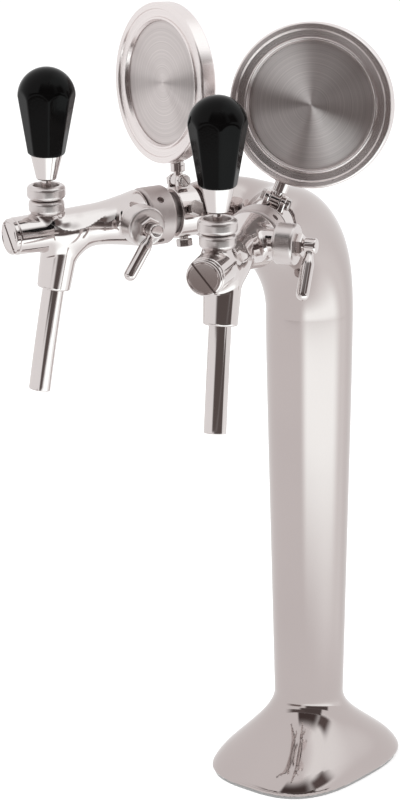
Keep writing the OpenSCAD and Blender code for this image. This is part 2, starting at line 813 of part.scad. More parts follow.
module compensator_gland(side) {
    color(chrome) at_comp(side) difference() {
        union() {
            across(boss_reach - gland_spigot) cylinder(h = gland_spigot + 1, d = gland_spigot_d);
            across(boss_reach) cylinder(h = gland_head, d = gland_d, $fn = 6);
        }
        across(boss_reach - gland_spigot - 1)
            cylinder(h = gland_spigot + gland_head + 2, d = comp_shaft_d + 4 * fit);
    }
}

module compensator_seal(side) {
    color(rubber) at_comp(side) across(gland_in() + 0.2)
        tube(seal_ring_t, gland_spigot_d, comp_shaft_d + 4 * fit);
}

tower_column();
base_gasket();
base_plate();
beer_line(left);  // beer_line_left
beer_line(right);  // beer_line_right
shank(left);  // shank_left
shank(right);  // shank_right
coupling_nut(left);  // coupling_nut_left
coupling_nut(right);  // coupling_nut_right
tail_washer(left);  // tail_washer_left
tail_washer(right);  // tail_washer_right
badge_bracket(left);  // badge_bracket_left
badge_bracket(right);  // badge_bracket_right
bracket_screws(left);  // bracket_screws_left
bracket_screws(right);  // bracket_screws_right
badge_pivot_screw(left);  // badge_pivot_screw_left
badge_pivot_screw(right);  // badge_pivot_screw_right
badge_stem(left);  // badge_stem_left
badge_stem(right);  // badge_stem_right
badge_frame(left);  // badge_frame_left
badge_frame(right);  // badge_frame_right
badge_disc(left);  // badge_disc_left
badge_disc(right);  // badge_disc_right
badge_screws(left);  // badge_screws_left
badge_screws(right);  // badge_screws_right
tap_body(left);  // tap_body_left
tap_body(right);  // tap_body_right
barrel_plug(left);  // barrel_plug_left
barrel_plug(right);  // barrel_plug_right
bonnet(left);  // bonnet_left
bonnet(right);  // bonnet_right
lever_nut(left);  // lever_nut_left
lever_nut(right);  // lever_nut_right
handle_lever(left);  // handle_lever_left
handle_lever(right);  // handle_lever_right
handle_ferrule(left);  // handle_ferrule_left
handle_ferrule(right);  // handle_ferrule_right
handle_grip(left);  // handle_grip_left
handle_grip(right);  // handle_grip_right
valve_piston(left);  // valve_piston_left
valve_piston(right);  // valve_piston_right
valve_seal(left);  // valve_seal_left
valve_seal(right);  // valve_seal_right
spout(left);  // spout_left
spout(right);  // spout_right
compensator_cone(left);  // compensator_cone_left
compensator_cone(right);  // compensator_cone_right
compensator_shaft(left);  // compensator_shaft_left
compensator_shaft(right);  // compensator_shaft_right
compensator_lever(left);  // compensator_lever_left
compensator_lever(right);  // compensator_lever_right
compensator_gland(left);  // compensator_gland_left
compensator_gland(right);  // compensator_gland_right
compensator_seal(left);  // compensator_seal_left
compensator_seal(right);  // compensator_seal_right
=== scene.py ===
import math
import bmesh
import bpy
import numpy as np
from mathutils import Matrix, Vector


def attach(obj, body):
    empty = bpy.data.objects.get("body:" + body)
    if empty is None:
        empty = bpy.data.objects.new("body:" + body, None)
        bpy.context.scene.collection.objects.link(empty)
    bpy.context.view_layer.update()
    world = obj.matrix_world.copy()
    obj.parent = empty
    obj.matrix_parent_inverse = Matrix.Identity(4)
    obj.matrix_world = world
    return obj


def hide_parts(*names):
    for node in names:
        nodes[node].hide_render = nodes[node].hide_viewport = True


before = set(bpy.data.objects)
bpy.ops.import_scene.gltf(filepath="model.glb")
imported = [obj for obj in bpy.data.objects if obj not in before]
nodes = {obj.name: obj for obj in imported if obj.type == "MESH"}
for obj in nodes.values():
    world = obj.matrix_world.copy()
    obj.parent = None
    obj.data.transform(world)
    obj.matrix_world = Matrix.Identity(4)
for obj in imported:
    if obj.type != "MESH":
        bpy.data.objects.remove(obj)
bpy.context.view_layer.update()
scene = bpy.context.scene
print("frame loaded:", len(nodes), "nodes")

mm = 0.001
sides = {"left": -1, "right": 1}

# the sizes that the pieces of a tap share, in millimetres and degrees
tapLine = {
    "axisHeight": 355.0, "splay": 21.0, "shankRadius": 11.4,
    "bracketStart": 78.0, "bracketWidth": 13.0, "nutStart": 95.5, "nutLength": 15.5,
    "housingStart": 111.5, "drumAt": 122.0, "drumUp": 2.2, "socketTop": 159.5, "socketTilt": 11.2,
    "handleAt": 169.0, "ballHeight": 18.6, "handleLean": 1.7, "barrelEnd": 190.0,
}


# wraps one socket of a node tree, so that shader maths reads as plain maths
class Wire:
    def __init__(self, tree, socket=None):
        self.tree = tree
        self.socket = socket

    def node(self, kind, settings=None, sockets=None, out=0):
        made = self.tree.nodes.new(kind)
        for key, value in (settings or {}).items():
            if key == "stops":
                for i, (at, colour) in enumerate(value):
                    stop = made.color_ramp.elements[i] if i < 2 else made.color_ramp.elements.new(at)
                    stop.position = at
                    stop.color = colour if len(colour) == 4 else (*colour, 1)
            else:
                setattr(made, key, value)
        for key, value in (sockets or {}).items():
            entry = made.inputs[key]
            if isinstance(value, Wire):
                self.tree.links.new(value.socket, entry)
            else:
                entry.default_value = value
        return Wire(self.tree, made.outputs[out] if len(made.outputs) else None)

    def maths(self, operation, a, b):
        return self.node("ShaderNodeMath", {"operation": operation}, {0: a, 1: b})

    def __add__(self, other):
        return self.maths("ADD", self, other)

    def __radd__(self, other):
        return self.maths("ADD", other, self)

    def __sub__(self, other):
        return self.maths("SUBTRACT", self, other)

    def __rsub__(self, other):
        return self.maths("SUBTRACT", other, self)

    def __mul__(self, other):
        return self.maths("MULTIPLY", self, other)

    def __rmul__(self, other):
        return self.maths("MULTIPLY", other, self)

    def __pow__(self, other):
        return self.maths("POWER", self, other)

    def __rpow__(self, other):
        return self.maths("POWER", other, self)


def newMaterial(name):
    made = bpy.data.materials.new(name)
    made.use_nodes = True
    made.node_tree.nodes.clear()
    return made, Wire(made.node_tree)


def finishMaterial(wire, shader):
    wire.node("ShaderNodeOutputMaterial", None, {"Surface": shader})


def finishSurface(wire, sockets):
    finishMaterial(wire, wire.node("ShaderNodeBsdfPrincipled", None, sockets))


def mixColour(wire, factor, dark, light):
    settings = {"data_type": "RGBA", "clamp_factor": True}
    return wire.node("ShaderNodeMix", settings, {0: factor, 6: (*dark, 1), 7: (*light, 1)}, 2)


def ownSpot(wire):
    return wire.node("ShaderNodeTexCoord", None, None, "Object")


def noise(wire, spot, scale, detail):
    return wire.node("ShaderNodeTexNoise", None, {"Vector": spot, "Scale": scale, "Detail": detail})


def ringNoise(wire, radius, scale, detail):
    settings = {"noise_dimensions": "1D"}
    return wire.node("ShaderNodeTexNoise", settings, {"W": radius, "Scale": scale, "Detail": detail})


def bump(wire, height, strength, depth, under=None):
    sockets = {"Strength": strength, "Distance": depth, "Height": height}
    if under is not None:
        sockets["Normal"] = under
    return wire.node("ShaderNodeBump", None, sockets)


# polished metal: faint clouding, fine polishing marks and a very slight ripple
metalLook = {
    "towerChrome": {
        "dark": (0.48, 0.425, 0.415), "light": (0.53, 0.472, 0.46),
        "cloudScale": 14.0, "fineScale": 900.0, "rough": 0.045, "smudge": 0.06, "ripple": 0.02,
    },
    "fittingChrome": {
        "dark": (0.65, 0.60, 0.59), "light": (0.70, 0.65, 0.64),
        "cloudScale": 60.0, "fineScale": 1500.0, "rough": 0.05, "smudge": 0.06, "ripple": 0.03,
    },
    "ringSatin": {
        "dark": (0.64, 0.59, 0.58), "light": (0.70, 0.65, 0.64),
        "cloudScale": 40.0, "fineScale": 900.0, "rough": 0.27, "smudge": 0.05, "ripple": 0.01,
    },
    "nutSatin": {
        "dark": (0.54, 0.48, 0.47), "light": (0.62, 0.555, 0.545),
        "cloudScale": 60.0, "fineScale": 1700.0, "rough": 0.46, "smudge": 0.12, "ripple": 0.03,
    },
    # threaded steel of the shank, its dark colour partly painted shade for the gap between the coupling nut
    # and the bracket
    "threadSteelPaintedShade": {
        "dark": (0.16, 0.14, 0.135), "light": (0.26, 0.23, 0.225),
        "cloudScale": 200.0, "fineScale": 2400.0, "rough": 0.30, "smudge": 0.20, "ripple": 0.20,
    },
    "screwSteel": {
        "dark": (0.48, 0.44, 0.43), "light": (0.60, 0.56, 0.55),
        "cloudScale": 160.0, "fineScale": 2200.0, "rough": 0.12, "smudge": 0.15, "ripple": 0.05,
    },
    "satinSteel": {
        "dark": (0.52, 0.50, 0.49), "light": (0.60, 0.58, 0.57),
        "cloudScale": 90.0, "fineScale": 2600.0, "rough": 0.26, "smudge": 0.15, "ripple": 0.05,
    },
    "zincSteel": {
        "dark": (0.45, 0.45, 0.46), "light": (0.60, 0.60, 0.60),
        "cloudScale": 70.0, "fineScale": 1800.0, "rough": 0.35, "smudge": 0.20, "ripple": 0.10,
    },
    "valveBrass": {
        "dark": (0.60, 0.45, 0.20), "light": (0.74, 0.58, 0.30),
        "cloudScale": 90.0, "fineScale": 2000.0, "rough": 0.22, "smudge": 0.15, "ripple": 0.05,
    },
}
metalLook["castingChrome"] = {**metalLook["fittingChrome"], "drumRough": 0.25}  # its side drum is turned
metalGrain = {"cloudDetail": 4.0, "fineDetail": 5.0, "rippleDepth": 0.0004}


def polishedMetal(name, look):
    made, wire = newMaterial(name)
    spot = ownSpot(wire)
    cloud = noise(wire, spot, look["cloudScale"], metalGrain["cloudDetail"])
    fine = noise(wire, spot, look["fineScale"], metalGrain["fineDetail"])
    rough = look["rough"] + look["smudge"] * cloud * fine
    if "drumRough" in look:
        drum = wire.node("ShaderNodeAttribute", {"attribute_name": "drumSide"}, None, "Fac")
        rough = rough + look["drumRough"] * drum
    finishSurface(wire, {
        "Base Color": mixColour(wire, cloud, look["dark"], look["light"]), "Metallic": 1.0,
        "Roughness": rough, "Normal": bump(wire, cloud, look["ripple"], metalGrain["rippleDepth"]),
    })
    return made


# spun metal: turning marks run round the piece's own axis, and the shine streaks across them
spunLook = {
    "spunDisc": {
        "dark": (0.48, 0.44, 0.43), "light": (0.90, 0.83, 0.82),
        "rings": 1500.0, "rough": 0.37, "streak": 1.0, "crown": 0.09,
    },
    "spunFrame": {
        "dark": (0.76, 0.70, 0.69), "light": (0.90, 0.84, 0.83),
        "rings": 1900.0, "rough": 0.22, "streak": 0.95, "crown": 0.0,
    },
}
spunGrain = {
    "ringDetail": 3.0, "broadRings": 420.0, "broadDetail": 2.0, "fineShare": 0.6, "broadShare": 0.4,
    "ringRough": 0.04, "grooveStrength": 0.10, "grooveDepth": 0.0001, "streakTurn": 0.25,
}


def spunMetal(name, look):
    made, wire = newMaterial(name)
    spot = ownSpot(wire)
    x = wire.node("ShaderNodeSeparateXYZ", None, {"Vector": spot}, "X")
    y = wire.node("ShaderNodeSeparateXYZ", None, {"Vector": spot}, "Y")
    radius = (x * x + y * y) ** 0.5
    mark = ringNoise(wire, radius, look["rings"], spunGrain["ringDetail"])
    broad = ringNoise(wire, radius, spunGrain["broadRings"], spunGrain["broadDetail"])
    shade = spunGrain["fineShare"] * mark + spunGrain["broadShare"] * broad
    crown = bump(wire, -look["crown"] * radius, 1.0, 1.0)  # shades the face as a very flat cone
    groove = bump(wire, mark, spunGrain["grooveStrength"], spunGrain["grooveDepth"], crown)
    finishSurface(wire, {
        "Base Color": mixColour(wire, shade, look["dark"], look["light"]), "Metallic": 1.0,
        "Roughness": look["rough"] + spunGrain["ringRough"] * mark, "Normal": groove,
        "Anisotropic": look["streak"], "Anisotropic Rotation": spunGrain["streakTurn"],
    })
    return made


# moulded grip: glossy black with a faint orange peel and light handling marks
gripLook = {
    "dark": (0.001, 0.001, 0.0011), "light": (0.003, 0.0027, 0.0027),
    "rough": 0.06, "smudge": 0.06, "ior": 1.18,
    "cloudScale": 70.0, "cloudDetail": 4.0, "peelScale": 900.0, "peelDetail": 2.0,
    "peel": 0.05, "peelDepth": 0.0003,
}


def mouldedGrip(name, look):
    made, wire = newMaterial(name)
    spot = ownSpot(wire)
    cloud = noise(wire, spot, look["cloudScale"], look["cloudDetail"])
    peel = noise(wire, spot, look["peelScale"], look["peelDetail"])
    finishSurface(wire, {
        "Base Color": mixColour(wire, cloud, look["dark"], look["light"]), "IOR": look["ior"],
        "Roughness": look["rough"] + look["smudge"] * cloud,
        "Normal": bump(wire, peel, look["peel"], look["peelDepth"]),
    })
    return made


# rubber: matt and grainy, with a faint pale bloom
rubberLook = {
    "shades": {"blackRubber": (0.018, 0.05), "greyRubber": (0.30, 0.38)},
    "grainScale": 1200.0, "grainDetail": 4.0, "bloomScale": 50.0, "bloomDetail": 3.0,
    "rough": 0.55, "roughSpread": 0.25, "grain": 0.2, "grainDepth": 0.0002,
}


def mouldedRubber(name, look):
    made, wire = newMaterial(name)
    spot = ownSpot(wire)
    grain = noise(wire, spot, look["grainScale"], look["grainDetail"])
    bloom = noise(wire, spot, look["bloomScale"], look["bloomDetail"])
    dark, light = look["shades"][name]
    finishSurface(wire, {
        "Base Color": mixColour(wire, bloom, (dark, dark, dark), (light, light, light)),
        "Roughness": look["rough"] + look["roughSpread"] * grain,
        "Normal": bump(wire, grain, look["grain"], look["grainDepth"]),
    })
    return made


# plastic of the compensator cone: pale, with a soft shine
coneLook = {
    "dark": (0.66, 0.65, 0.61), "light": (0.80, 0.79, 0.75), "cloudScale": 160.0, "cloudDetail": 4.0,
    "rough": 0.28, "roughSpread": 0.15, "wave": 0.08, "waveDepth": 0.0002,
}


def mouldedCone(name, look):
    made, wire = newMaterial(name)
    cloud = noise(wire, ownSpot(wire), look["cloudScale"], look["cloudDetail"])
    finishSurface(wire, {
        "Base Color": mixColour(wire, cloud, look["dark"], look["light"]),
        "Roughness": look["rough"] + look["roughSpread"] * cloud,
        "Normal": bump(wire, cloud, look["wave"], look["waveDepth"]),
    })
    return made


finishes = {
    "gripBlack": mouldedGrip("gripBlack", gripLook),
    "conePlastic": mouldedCone("conePlastic", coneLook),
}
for name, look in metalLook.items():
    finishes[name] = polishedMetal(name, look)
for name, look in spunLook.items():
    finishes[name] = spunMetal(name, look)
for name in rubberLook["shades"]:
    finishes[name] = mouldedRubber(name, rubberLook)
print("materials made:", len(finishes))


def arcPoints(x, y, radius, start, end, count):
    angles = [math.radians(start + (end - start) * i / count) for i in range(count + 1)]
    return [(x + radius * math.cos(angle), y + radius * math.sin(angle)) for angle in angles]


# turned piece about local Z from (radius, height) points
def turnedMesh(profile, segments):
    points = [p for i, p in enumerate(profile) if i == 0 or math.dist(p, profile[i - 1]) > 1e-5]
    verts, faces, rows = [], [], []
    for radius, height in points:
        if radius < 1e-6:
            rows.append([len(verts)])
            verts.append((0, 0, height))
        else:
            rows.append(list(range(len(verts), len(verts) + segments)))
            for i in range(segments):
                angle = 2 * math.pi * i / segments
                verts.append((radius * math.cos(angle), radius * math.sin(angle), height))
    for low, high in zip(rows, rows[1:]):
        for i in range(segments):
            j = (i + 1) % segments
            if len(low) == 1 and len(high) > 1:
                faces.append((low[0], high[j], high[i]))
            elif len(high) == 1 and len(low) > 1:
                faces.append((low[i], low[j], high[0]))
            elif len(low) > 1:
                faces.append((low[i], low[j], high[j], high[i]))
    return np.array(verts, float), faces


def rodMesh(radius, low, high, segments):
    return turnedMesh([(0, low), (radius, low), (radius, high), (0, high)], segments)


# disc with rounded rims; a bore may open into a wider mouth at the top
def roundedDisc(radius, height, edge, bore=0.0, segments=96, mouth=0.0, soft=0.35):
    outer = arcPoints(radius - edge, edge, edge, -90, 0, 7)
    outer += arcPoints(radius - edge, height - edge, edge, 0, 90, 7)
    if not bore:
        return turnedMesh([(0, 0)] + outer + [(0, height)], segments)
    top = mouth or bore
    low = [(bore, soft), (bore + soft, 0)]
    return turnedMesh(low + outer + [(top + soft, height), (top, height - soft), (bore, soft)], segments)


# faces between four stacked outlines, closed at both ends
def stackedFaces(count):
    faces = [tuple(reversed(range(count)))]
    for k in range(3):
        for i in range(count):
            j = (i + 1) % count
            faces.append((k * count + i, k * count + j, (k + 1) * count + j, (k + 1) * count + i))
    faces.append(tuple(range(3 * count, 4 * count)))
    return faces


# a bar with a flat or polygon section and bevelled ends, along local Z
def prismMesh(outline, low, high, bevel):
    shares = [1 - bevel / math.hypot(x, y) for x, y in outline]
    inner = [(x * share, y * share) for (x, y), share in zip(outline, shares)]
    rows = [(inner, low), (outline, low + bevel), (outline, high - bevel), (inner, high)]
    verts = [(x, y, h) for row, h in rows for x, y in row]
    return np.array(verts, float), stackedFaces(len(outline))


def hexOutline(across):
    return arcPoints(0, 0, across / math.sqrt(3), 0, 300, 5)


# straight bar that cuts a screwdriver slot
def slotBar(reach, half, low, high):
    outline = [(-reach, -half), (reach, -half), (reach, half), (-reach, half)]
    corners = [(x, y, h) for h in (low, high) for x, y in outline]
    faces = [(3, 2, 1, 0), (4, 5, 6, 7), (0, 1, 5, 4), (1, 2, 6, 5), (2, 3, 7, 6), (3, 0, 4, 7)]
    return np.array(corners, float), faces


def moved(mesh, matrix):
    verts, faces = mesh
    turn = np.array(matrix.to_3x3())
    return verts @ turn.T + np.array(matrix.translation), faces


def joined(*meshes):
    verts, faces, base = [], [], 0
    for points, loops in meshes:
        verts.append(points)
        faces += [tuple(i + base for i in loop) for loop in loops]
        base += len(points)
    return np.vstack(verts), faces


# cuts tool meshes out of a mesh with one exact boolean
def carved(mesh, *tools):
    made = []
    for i, (verts, faces) in enumerate((mesh, joined(*tools))):
        data = bpy.data.meshes.new("carve%d" % i)
        data.from_pydata(verts.tolist(), [], faces)
        data.validate()
        shape = bmesh.new()
        shape.from_mesh(data)
        bmesh.ops.recalc_face_normals(shape, faces=shape.faces)
        shape.to_mesh(data)
        shape.free()
        made.append(bpy.data.objects.new("carve%d" % i, data))
        scene.collection.objects.link(made[-1])
    cut = made[0].modifiers.new("cut", "BOOLEAN")
    cut.operation = "DIFFERENCE"
    cut.solver = "EXACT"
    cut.object = made[1]
    view = bpy.context.evaluated_depsgraph_get()
    result = made[0].evaluated_get(view).to_mesh()
    verts = np.array([v.co for v in result.vertices], float)
    faces = [tuple(p.vertices) for p in result.polygons]
    made[0].evaluated_get(view).to_mesh_clear()
    for shape in made:
        bpy.data.objects.remove(shape)
    return verts, faces


def shift(x, y, z):
    return Matrix.Translation((x, y, z))


def spin(degrees, axis):
    return Matrix.Rotation(math.radians(degrees), 4, axis)


# local frame of a tap in millimetres: -Y runs out along the tap, +X to its right, +Z up
def tapFrame(side):
    return shift(0, 0, tapLine["axisHeight"]) @ spin(sides[side] * tapLine["splay"], "Z")


# the same, moved out along the tap, with +Z running out
def outFrame(side, out):
    return tapFrame(side) @ shift(0, -out, 0) @ spin(90, "X")


def inMetres(matrix):
    scaled = matrix.copy()
    scaled.translation = matrix.translation * mm
    return scaled


# makes the object, shades it, and hangs it on its CAD body in place of its node
def addPiece(name, mesh, matrix, finish, body, node, slotName, crease=32, weighted=True,
             normals=None, ownAxes=False):
    verts, faces = mesh if ownAxes else moved(mesh, matrix)
    data = bpy.data.meshes.new(name)
    data.from_pydata((verts * mm).tolist(), [], faces)
    data.validate()
    data.shade_smooth()
    if normals is None:
        data.set_sharp_from_angle(angle=math.radians(crease))
    made = bpy.data.objects.new(name, data)
    scene.collection.objects.link(made)
    if ownAxes:
        made.matrix_world = inMetres(matrix)
    data.materials.append(finishes[finish])
    if normals is not None:
        data.normals_split_custom_set_from_vertices((normals @ np.array(matrix.to_3x3()).T).tolist())
    elif weighted:
        even = made.modifiers.new("evenNormals", "WEIGHTED_NORMAL")
        even.keep_sharp = True
    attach(made, body)
    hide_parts(node)
    return made


# a piece that comes once for each tap, on the tower or on a body of its own side
def addSided(side, name, mesh, matrix, finish, body, node, slotName="fitting_chrome", **shading):
    sideBody = body if body == "tower" else body + "_" + side
    return addPiece(name + "_" + side, mesh, matrix, finish, sideBody, node + "_" + side, slotName, **shading)


def ease(t):
    t = np.clip(t, 0, 1)
    return t * t * (3 - 2 * t)


# the lesser of two distances, with the change between them rounded over a width
def blendMin(a, b, width):
    share = np.clip(0.5 + 0.5 * (b - a) / np.maximum(width, 1e-6), 0, 1)
    return b * (1 - share) + a * share - width * share * (1 - share)


def blendMax(a, b, width):
    return -blendMin(-a, -b, width)


# skin of a solid given by a distance field: cells that the surface crosses, then pulled onto it
skin = {"pulls": 5, "longestPull": 0.5, "probe": 0.02}


def fieldSlope(field, points):
    parts = []
    for k in range(3):
        probe = np.zeros(3)
        probe[k] = skin["probe"]
        parts.append((field(*(points + probe).T) - field(*(points - probe).T)) / (2 * skin["probe"]))
    return np.stack(parts, 1)


def skinField(field, low, high, step):
    counts = [int(math.ceil((top - bottom) / step)) + 1 for bottom, top in zip(low, high)]
    axes = [bottom + step * np.arange(n) for bottom, n in zip(low, counts)]
    value = np.empty(counts)
    for i, x in enumerate(axes[0]):
        gridY, gridZ = np.meshgrid(axes[1], axes[2], indexing="ij")
        value[i] = field(np.full_like(gridY, x), gridY, gridZ)
    inside = value < 0
    nx, ny, nz = [n - 1 for n in counts]
    total = np.zeros((nx, ny, nz, 3))
    hits = np.zeros((nx, ny, nz))
    corners = [(a, b, c) for a in (0, 1) for b in (0, 1) for c in (0, 1)]
    for corner in corners:
        for axis in range(3):
            if corner[axis]:
                continue
            other = tuple(1 if k == axis else corner[k] for k in range(3))
            here, there = [value[i:i + nx, j:j + ny, k:k + nz] for i, j, k in (corner, other)]
            cross = (here < 0) != (there < 0)
            along = np.where(cross, here / np.where(cross, here - there, 1), 0)
            for k in range(3):
                total[..., k] += cross * (corner[k] + (along if k == axis else 0))
            hits += cross
    live = hits > 0
    number = np.full((nx, ny, nz), -1)
    number[live] = np.arange(live.sum())
    cell = np.argwhere(live)
    verts = np.array(low) + step * (cell + total[live] / hits[live][:, None])
    quads = []
    for axis in range(3):
        u, v = (axis + 1) % 3, (axis + 2) % 3
        before = np.take(inside, range(counts[axis] - 1), axis)
        after = np.take(inside, range(1, counts[axis]), axis)
        for flip in (False, True):
            spots = np.argwhere((before & ~after) if flip else (~before & after))
            within = (spots[:, u] > 0) & (spots[:, u] < counts[u] - 1)
            within &= (spots[:, v] > 0) & (spots[:, v] < counts[v] - 1)
            spots = spots[within]
            loop = []
            for du, dv in ((0, 0), (0, -1), (-1, -1), (-1, 0)):
                at = spots.copy()
                at[:, u] += du
                at[:, v] += dv
                loop.append(number[at[:, 0], at[:, 1], at[:, 2]])
            quad = np.stack(loop[::-1] if flip else loop, 1)
            quads.append(quad[(quad >= 0).all(1)])
    faces = [tuple(int(i) for i in quad) for quad in np.vstack(quads)]
    furthest = skin["longestPull"] * step
    for _ in range(skin["pulls"]):
        slope = fieldSlope(field, verts)
        pull = field(*verts.T)[:, None] * slope / np.maximum((slope * slope).sum(1), 1e-6)[:, None]
        verts = verts - np.clip(pull, -furthest, furthest)
    slope = fieldSlope(field, verts)
    normals = slope / np.maximum(np.linalg.norm(slope, axis=1), 1e-9)[:, None]
    return (verts, faces), normals


# tower: flared foot, a column that widens upwards, and two arms that part from one bend
tower = {
    "footHalf": 46.75, "footFront": 62.5, "footBack": 57.0, "footHeight": 46.0, "flareEase": 0.9,
    "footPower": 2.85, "squareGain": 1.3,  # the foot's outline is between an ellipse and a rectangle
    "lowRadius": 20.75, "topRadius": 25.5,
    "swellGain": 1.1, "swellEnd": 0.1, "swellPower": 11, "swellLow": -0.2,
    "bend": 285.0, "reach": 76.0, "rise": 70.0, "endRadius": 15.0, "taper": 2.5, "endEdge": 1.6,
    "armOverlap": 34, "forkBlend": 13.0, "forkStart": 2, "forkSpan": 66,
    "bottom": 1.5, "lip": 3.0, "core": 0.05, "guesses": 13, "refinings": 4, "stride": 0.2,
    "step": 1.6, "low": (-51.0, -94.0, -1.0), "high": (51.0, 61.0, 376.0),
}


def trunkField(x, y, z):
    rise = np.clip(z / tower["footHeight"], 0, 1)
    flare = 0.5 * (1 + np.cos(math.pi * rise ** tower["flareEase"]))
    climb = (z - tower["footHeight"]) / (tower["bend"] - tower["footHeight"])
    climb = np.clip(climb, tower["swellLow"], 1)
    swell = tower["swellGain"] * climb - tower["swellEnd"] * np.abs(climb) ** tower["swellPower"]
    radius = tower["lowRadius"] + (tower["topRadius"] - tower["lowRadius"]) * swell
    halfWide = radius + (tower["footHalf"] - radius) * flare
    halfLong = radius + ((tower["footFront"] + tower["footBack"]) / 2 - radius) * flare
    power = 2 + (tower["footPower"] - 2) * np.minimum(1, tower["squareGain"] * flare)
    middle = (tower["footBack"] - tower["footFront"]) / 2 * flare
    u = np.abs(x) / halfWide
    v = np.abs(y - middle) / halfLong
    norm = (u ** power + v ** power + 1e-12) ** (1 / power)
    away = np.sqrt(x * x + (y - middle) ** 2)
    side = away - away / np.maximum(norm, 1e-6)
    side = np.where(norm < tower["core"], -halfWide, side)
    return blendMax(np.maximum(side, z - tower["bend"]), tower["bottom"] - z, tower["lip"])


# distance to an arm that follows a quarter of an ellipse; the nearest angle is guessed, then refined
def armField(x, y, z, turn):
    cosTurn, sinTurn = math.cos(math.radians(turn)), math.sin(math.radians(turn))
    out = x * sinTurn - y * cosTurn
    across = x * cosTurn + y * sinTurn
    up = z - tower["bend"]
    reach, rise = tower["reach"], tower["rise"]
    quarter = math.pi / 2
    best = np.full(np.shape(out), 1e9)
    angle = np.zeros(np.shape(out))
    for guess in np.linspace(0, quarter, tower["guesses"]):
        gap = (out - reach * (1 - math.cos(guess))) ** 2 + (up - rise * math.sin(guess)) ** 2
        angle = np.where(gap < best, guess, angle)
        best = np.minimum(gap, best)
    for _ in range(tower["refinings"]):
        sine, cosine = np.sin(angle), np.cos(angle)
        offOut, offUp = out - reach * (1 - cosine), up - rise * sine
        slope = offOut * reach * sine + offUp * rise * cosine
        curve = offOut * reach * cosine - reach * reach * sine * sine
        curve = curve - offUp * rise * sine - rise * rise * cosine * cosine
        change = slope / np.where(np.abs(curve) < 1e-3, -1e-3, curve)
        angle = np.clip(angle - np.clip(change, -tower["stride"], tower["stride"]), 0, quarter)
    offOut, offUp = out - reach * (1 - np.cos(angle)), up - rise * np.sin(angle)
    taper = (angle / quarter) ** tower["taper"]
    radius = tower["topRadius"] + (tower["endRadius"] - tower["topRadius"]) * taper
    tube = np.sqrt(offOut * offOut + offUp * offUp + across * across) - radius
    return blendMax(tube, out - reach, tower["endEdge"])


def towerField(x, y, z):
    trunk = trunkField(x, y, z)
    value = trunk.copy()
    high = z > tower["bend"] - tower["armOverlap"]
    if high.any():
        left = armField(x[high], y[high], z[high], -tapLine["splay"])
        right = armField(x[high], y[high], z[high], tapLine["splay"])
        rise = (z[high] - tower["bend"] - tower["forkStart"]) / tower["forkSpan"]
        arms = blendMin(left, right, tower["forkBlend"] * ease(rise))
        value[high] = np.minimum(trunk[high], arms)
    return value


towerMesh, towerNormals = skinField(towerField, tower["low"], tower["high"], tower["step"])
addPiece("towerShell", towerMesh, Matrix.Identity(4), "towerChrome", "tower", "tower_column", "tower_chrome",
         normals=towerNormals)
print("tower skinned:", len(towerMesh[0]), "points")

# tap body: housing, taper, barrel, spout socket, side drum and bonnet neck melted into one casting
tapBody = {
    "housingRadius": 16.0, "waistRadius": 11.8, "barrelRadius": 10.4, "taperStart": 113.0, "taperEnd": 139.0,
    "taperCurve": 1.4, "barrelCurve": 0.8, "backEdge": 2.4, "frontEdge": 1.2,
    "socketLength": 33.5, "socketTopRadius": 10.8, "socketEndRadius": 9.3, "socketEdge": 1.2,
    "web": 4.5, "webExtra": 8.0, "webStart": 4.0, "webSpan": 14.0,  # the web is fuller behind the socket
    "drumNeck": 8.0, "drumRadius": 11.3, "drumIn": 18.0, "drumReach": 29.5, "drumEdge": 1.8, "drumFade": 0.6,
    "drumBlend": 0.8, "stubOverlap": 1.0, "stubBlend": 3.0,
    "neckRadius": 8.2, "neckTop": 10.6, "neckEdge": 0.6, "neckBlend": 2.4,
    "step": 0.75, "low": (-18.0, -192.0, -36.0), "high": (31.5, -109.0, 19.0),
}


def tapField(x, y, z):
    out = -y
    taper = np.clip((out - tapBody["taperStart"]) / (tapBody["taperEnd"] - tapBody["taperStart"]), 0, 1)
    front = np.clip((out - tapBody["taperEnd"]) / (tapLine["barrelEnd"] - tapBody["taperEnd"]), 0, 1)
    slim = tapBody["barrelRadius"] - tapBody["waistRadius"]
    waist = tapBody["waistRadius"] + slim * front ** tapBody["barrelCurve"]
    swell = tapBody["housingRadius"] - tapBody["waistRadius"]
    radius = waist + swell * (1 - taper) ** tapBody["taperCurve"]
    body = blendMax(np.sqrt(x * x + z * z) - radius, tapLine["housingStart"] - out, tapBody["backEdge"])
    body = blendMax(body, out - tapLine["barrelEnd"], tapBody["frontEdge"])
    tilt = math.radians(tapLine["socketTilt"])
    ahead = out - tapLine["socketTop"]
    along = ahead * math.sin(tilt) - z * math.cos(tilt)
    off = ahead * math.cos(tilt) + z * math.sin(tilt)
    down = np.clip(along / tapBody["socketLength"], 0, 1)
    radius = tapBody["socketTopRadius"] + (tapBody["socketEndRadius"] - tapBody["socketTopRadius"]) * down
    socket = np.maximum(np.sqrt(off * off + x * x) - radius, -along)
    socket = blendMax(socket, along - tapBody["socketLength"], tapBody["socketEdge"])
    behind = (tapLine["socketTop"] + tapBody["webStart"] - out) / tapBody["webSpan"]
    body = blendMin(body, socket, tapBody["web"] + tapBody["webExtra"] * ease(behind))
    side = np.sqrt((out - tapLine["drumAt"]) ** 2 + (z - tapLine["drumUp"]) ** 2)
    stub = np.maximum(side - tapBody["drumNeck"], -x)
    stub = np.maximum(stub, x - tapBody["drumIn"] - tapBody["stubOverlap"])
    ends = np.maximum(tapBody["drumIn"] - x, x - tapBody["drumReach"])
    drum = blendMax(side - tapBody["drumRadius"], ends, tapBody["drumEdge"])
    body = blendMin(blendMin(body, stub, tapBody["stubBlend"]), drum, tapBody["drumBlend"])
    neck = np.sqrt((out - tapLine["handleAt"]) ** 2 + x * x) - tapBody["neckRadius"]
    neck = blendMax(np.maximum(neck, -z), z - tapBody["neckTop"], tapBody["neckEdge"])
    return blendMin(body, neck, tapBody["neckBlend"])


